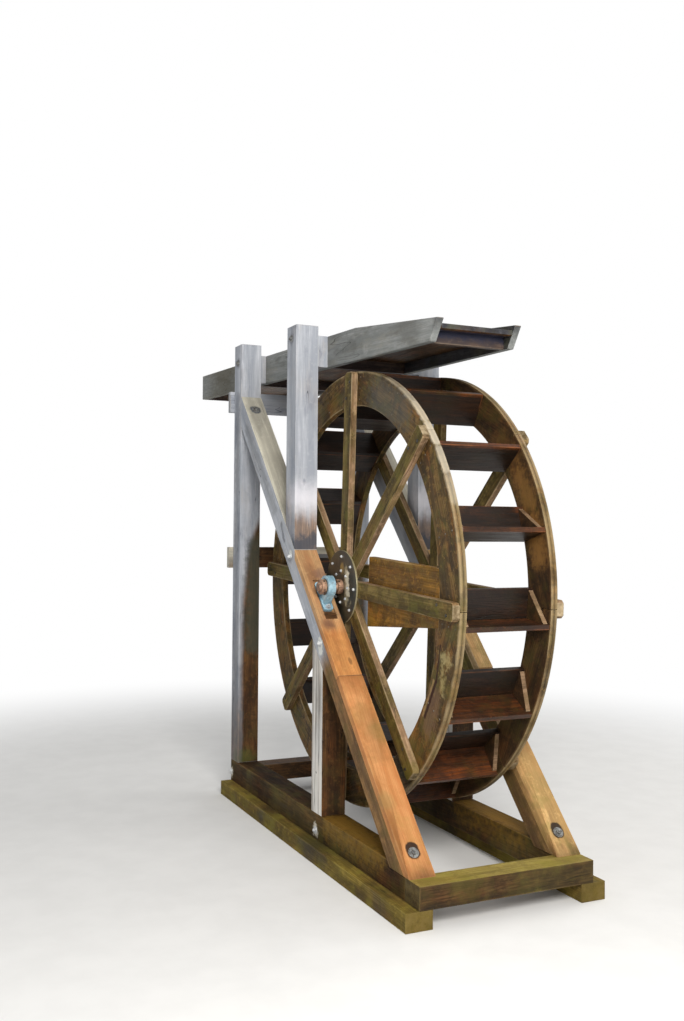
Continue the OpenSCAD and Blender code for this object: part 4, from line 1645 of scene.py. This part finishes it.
@dataclass
class Bearings(Assembly):
    """Pillow blocks, axle, bosses, collars and hub discs.

    Attributes:
        middle: Distance of a bearing's middle from the middle of the axle.
        width: Width of its housing.
        nut_under: Depth of the foot of a nut under the axle, square to the slope.
        nut_out: Distance of a nut from the middle of its bearing.
        screw_lean: Lean of the set screws from upright, in radians.
        lock_collar: Place along the axle of a locking collar's screw.
        lock_r: Radius at which that screw stands.
        boss_gap: Distance of a boss screw past its bearing's housing.
        boss_r: Radius at which that screw stands.
        disc_rim: Radius at which the worn rim of a hub disc starts.
        seal_size: Radii of a seal and of the raised inner ring in it.
        nut_size: Radii of a nut's washer and of the nut, and how far its stud stands out.
        screw_size: Radius and height of the domed head of a set screw.
    """

    middle: float = 0.396
    width: float = 0.043
    nut_under: float = 0.076
    nut_out: float = 0.082
    screw_lean: float = 0.7
    lock_collar: float = 0.3431
    lock_r: float = 0.0395
    boss_gap: float = 0.015
    boss_r: float = 0.0415
    disc_rim: float = 0.2005
    seal_size: Pair = (0.046, 0.034)
    nut_size: Triple = (0.0165, 0.0125, 0.009)
    screw_size: Pair = (0.0055, 0.005)

    def dress(self) -> None:
        """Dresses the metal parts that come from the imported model."""
        deposit = (Mark(from_axle(0.062, -DISC_FACE, 0.086), 0.044, (170, 158, 128), 0.8, 0.2, 4.0,
                        end=from_axle(0.08, -DISC_FACE, -0.06)),
                   Mark(from_axle(0.078, -DISC_FACE, 0.07), 0.03, (214, 206, 184), 0.95, 0.5, 4.0,
                        end=from_axle(0.094, -DISC_FACE, -0.03)),
                   Mark(from_axle(0.02, -DISC_FACE, 0.1), 0.04, (150, 122, 64), 0.75, 0.3, 2.0))
        rust = metal("rusty_steel", RUST, 0.4)
        steel = metal("black_steel", BLACK_STEEL, 0.5, deposit, rim=self.disc_rim)
        enamel = metal("blue_enamel", BLUE_ENAMEL)
        for names, material, arris in (
                (("axle", "boss_near", "boss_far", "lock_collar_near", "lock_collar_far"), rust, 0.002),
                (("hub_disc_near", "hub_disc_far"), steel, 0.0015),
                (("bearing_near", "bearing_far"), enamel, 0.004)):
            for name in names:
                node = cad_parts[name]
                put_on(node, material)
                soften(node, arris)
                LOG.info("dressed %s", name)

    @staticmethod
    def seal(outer: float, inner: float) -> Piece:
        """Models the inner ring and seal of a bearing.

        Args:
            outer: Radius of the seal.
            inner: Radius of the raised inner ring.

        Returns:
            The model, upright at the origin.
        """
        steps = ((outer - inner - 0.0012, 0.0), (0.0008, 0.0016))
        return Bench.turn_out(Turned("seal", 64, outer, 0.0012, steps, 0.0003))

    def fasten(self) -> None:
        """Adds the seals, the nuts on the bearing bases and the set screws of the collars."""
        seal = self.seal(*self.seal_size)
        nut = self.fasteners.hex_bolt(*self.nut_size)
        screw = self.fasteners.dome(*self.screw_size)
        up_slope, tip = leaning(SLOPE), leaning(self.screw_lean)
        boss = self.middle + self.width / 2 + self.boss_gap
        for name, side in SIDES:
            centre = self.middle * side
            faces = [(from_axle(0, centre + end * self.width / 2, 0), Vector((0, end, 0)))
                     for end in (-1, 1)]
            nuts = [(down_slope(along, self.nut_under, centre), up_slope)
                    for along in (-self.nut_out, self.nut_out)]
            screws = [(from_axle(0, place * side, 0) + tip * radius, tip)
                      for place, radius in ((boss, self.boss_r), (self.lock_collar, self.lock_r))]
            for group, model, places, body, metal_name, slot in (
                    ("bearing_seals_", seal, faces, "frame", "dark_heads", "dark_steel"),
                    ("bearing_nuts_", nut, nuts, "frame", "zinc", "rusty_steel"),
                    ("collar_screws_", screw, screws, "wheel", "dark_heads", "dark_steel")):
                self.fasteners.set_out(group + name, model, places, body, metal_name, slot)
        Bench.drop(seal, nut, screw)


@dataclass(frozen=True)
class Lamp:
    """A soft square lamp that points at the middle of the wheel.

    Attributes:
        name: Name of the lamp.
        place: Where it hangs.
        size: Length of its side.
        power: Its power in watts.
        colour: Its linear colour.
    """

    name: str
    place: Triple
    size: float
    power: float
    colour: Triple


@dataclass
class Studio:
    """Floor, lamps, world and camera.

    Attributes:
        camera_place: Place of the camera, measured from the middle of the axle.
        yaw: Heading of the camera, in radians from +X towards +Y.
        pitch: Rise of its view, in radians.
        roll: Lean of its view, in radians.
        focal: Focal length in pixels of the picture.
        picture: Width and height of the picture in pixels.
        sensor: Height of the camera's sensor in millimetres.
        floor_r: Radius of the floor.
        whitens: Distances from the origin between which the floor fades to white.
        world_light: Strength of the world's light on the object.
        target: Where the lamps point.
        lamps: The lamps.
    """

    camera_place: Triple = (5.2191, -2.7135, 0.3171)
    yaw: float = 2.7108
    pitch: float = 0.0188
    roll: float = 0.0079
    focal: float = 1025.545
    picture: tuple[int, int] = (684, 1021)
    sensor: float = 36.0
    floor_r: float = 60.0
    whitens: Pair = (2.4, 6.0)
    world_light: float = 0.48
    target: Triple = (0.4, 0.0, 1.5)
    lamps: tuple[Lamp, ...] = (Lamp("key_lamp", (6.2, -1.7, 4.0), 2.4, 370, (1.0, 0.97, 0.93)),
                               Lamp("fill_lamp", (-2.5, -5.5, 3.4), 3.4, 23, (0.92, 0.96, 1.0)),
                               Lamp("back_lamp", (0.5, 5.0, 4.6), 3.0, 110, (1.0, 0.98, 0.95)))

    def floor(self) -> None:
        """Lays a plain pale floor that fades to white far out."""
        bpy.ops.object.select_all(action="DESELECT")
        bpy.ops.mesh.primitive_circle_add(vertices=96, radius=self.floor_r, fill_type="NGON",
                                          location=(0, 0, 0))
        plane = bpy.context.object
        plane.name = "floor"
        graph = Graph(bpy.data.materials.new("pale_floor"))
        x, y, _ = graph.split(graph.place)
        grey = graph.blend(graph.patches((5.0, 4.0), 0.3, 0.7), (0.80, 0.80, 0.79, 1.0),
                           (0.83, 0.83, 0.82, 1.0))
        matt = graph.node("ShaderNodeBsdfDiffuse", {"Color": grey})
        glow = graph.node("ShaderNodeEmission", {"Color": (1.0, 1.0, 1.0, 1.0), "Strength": 1.0})
        rays = graph.node("ShaderNodeLightPath", {}).outputs
        seen = graph.most(rays["Is Camera Ray"],
                          graph.most(rays["Is Glossy Ray"], rays["Is Transmission Ray"]))
        share = graph.times(seen, graph.fade(graph.length(x, y), *self.whitens))
        mixed = graph.node("ShaderNodeMixShader", {0: share, 1: matt.outputs[0], 2: glow.outputs[0]})
        graph.node("ShaderNodeOutputMaterial", {"Surface": mixed.outputs[0]})
        put_on(plane, graph.owner)

    def world(self) -> None:
        """Lights the scene evenly and shows a white background."""
        world = bpy.data.worlds.new("studio_world")
        bpy.context.scene.world = world
        graph = Graph(world)
        rays = graph.node("ShaderNodeLightPath", {}).outputs
        seen = graph.most(rays["Is Camera Ray"], rays["Is Transmission Ray"])
        strength = graph.node("ShaderNodeMapRange", {0: seen, 3: self.world_light, 4: 1.0}).outputs[0]
        sky = graph.node("ShaderNodeBackground", {0: (1.0, 1.0, 1.0, 1.0), 1: strength})
        graph.node("ShaderNodeOutputWorld", {0: sky.outputs[0]})

    def hang(self, lamp: Lamp) -> None:
        """Hangs a lamp.

        Args:
            lamp: The lamp.
        """
        place = Vector(lamp.place)
        bpy.ops.object.light_add(type="AREA", location=place)
        light = bpy.context.object
        light.name = lamp.name
        light.data.shape = "SQUARE"
        light.data.size = lamp.size
        light.data.energy = lamp.power
        light.data.color = lamp.colour
        light.rotation_euler = (Vector(self.target) - place).to_track_quat("-Z", "Y").to_euler()

    def camera(self) -> None:
        """Sets up the camera at the viewing angle of the picture."""
        ahead = Vector((math.cos(self.pitch) * math.cos(self.yaw), math.cos(self.pitch) * math.sin(self.yaw),
                        math.sin(self.pitch)))
        level = Vector((math.sin(self.yaw), -math.cos(self.yaw), 0))
        upright = level.cross(ahead)
        right = level * math.cos(self.roll) + upright * math.sin(self.roll)
        up = upright * math.cos(self.roll) - level * math.sin(self.roll)
        place = from_axle(*self.camera_place)
        bpy.ops.object.camera_add()
        camera = bpy.context.object
        camera.matrix_world = Matrix(((right.x, up.x, -ahead.x, place.x), (right.y, up.y, -ahead.y, place.y),
                                      (right.z, up.z, -ahead.z, place.z), (0, 0, 0, 1)))
        camera.data.sensor_width = self.sensor
        camera.data.lens = self.focal / self.picture[1] * self.sensor
        camera.data.clip_end = 200
        bpy.context.scene.camera = camera

    def build(self) -> None:
        """Builds the studio."""
        self.camera()
        self.floor()
        self.world()
        for lamp in self.lamps:
            self.hang(lamp)
        bpy.context.scene.view_settings.view_transform = "Standard"
        LOG.info("studio ready")


def main() -> None:
    """Dresses the part, adds its fasteners and sets up the studio."""
    logging.basicConfig(level=logging.INFO, format="%(name)s: %(message)s")
    dresser = TimberDresser()
    fasteners = Fasteners()
    for kind in (GroundFrame, Posts, Braces, Flume, Wheel, Bearings):
        assembly = kind(dresser, fasteners)
        assembly.dress()
        assembly.fasten()
    Studio().build()
    LOG.info("boards dressed: %d, fasteners set: %d", len(dresser.made), fasteners.count)


if __name__ == "__main__":
    main()
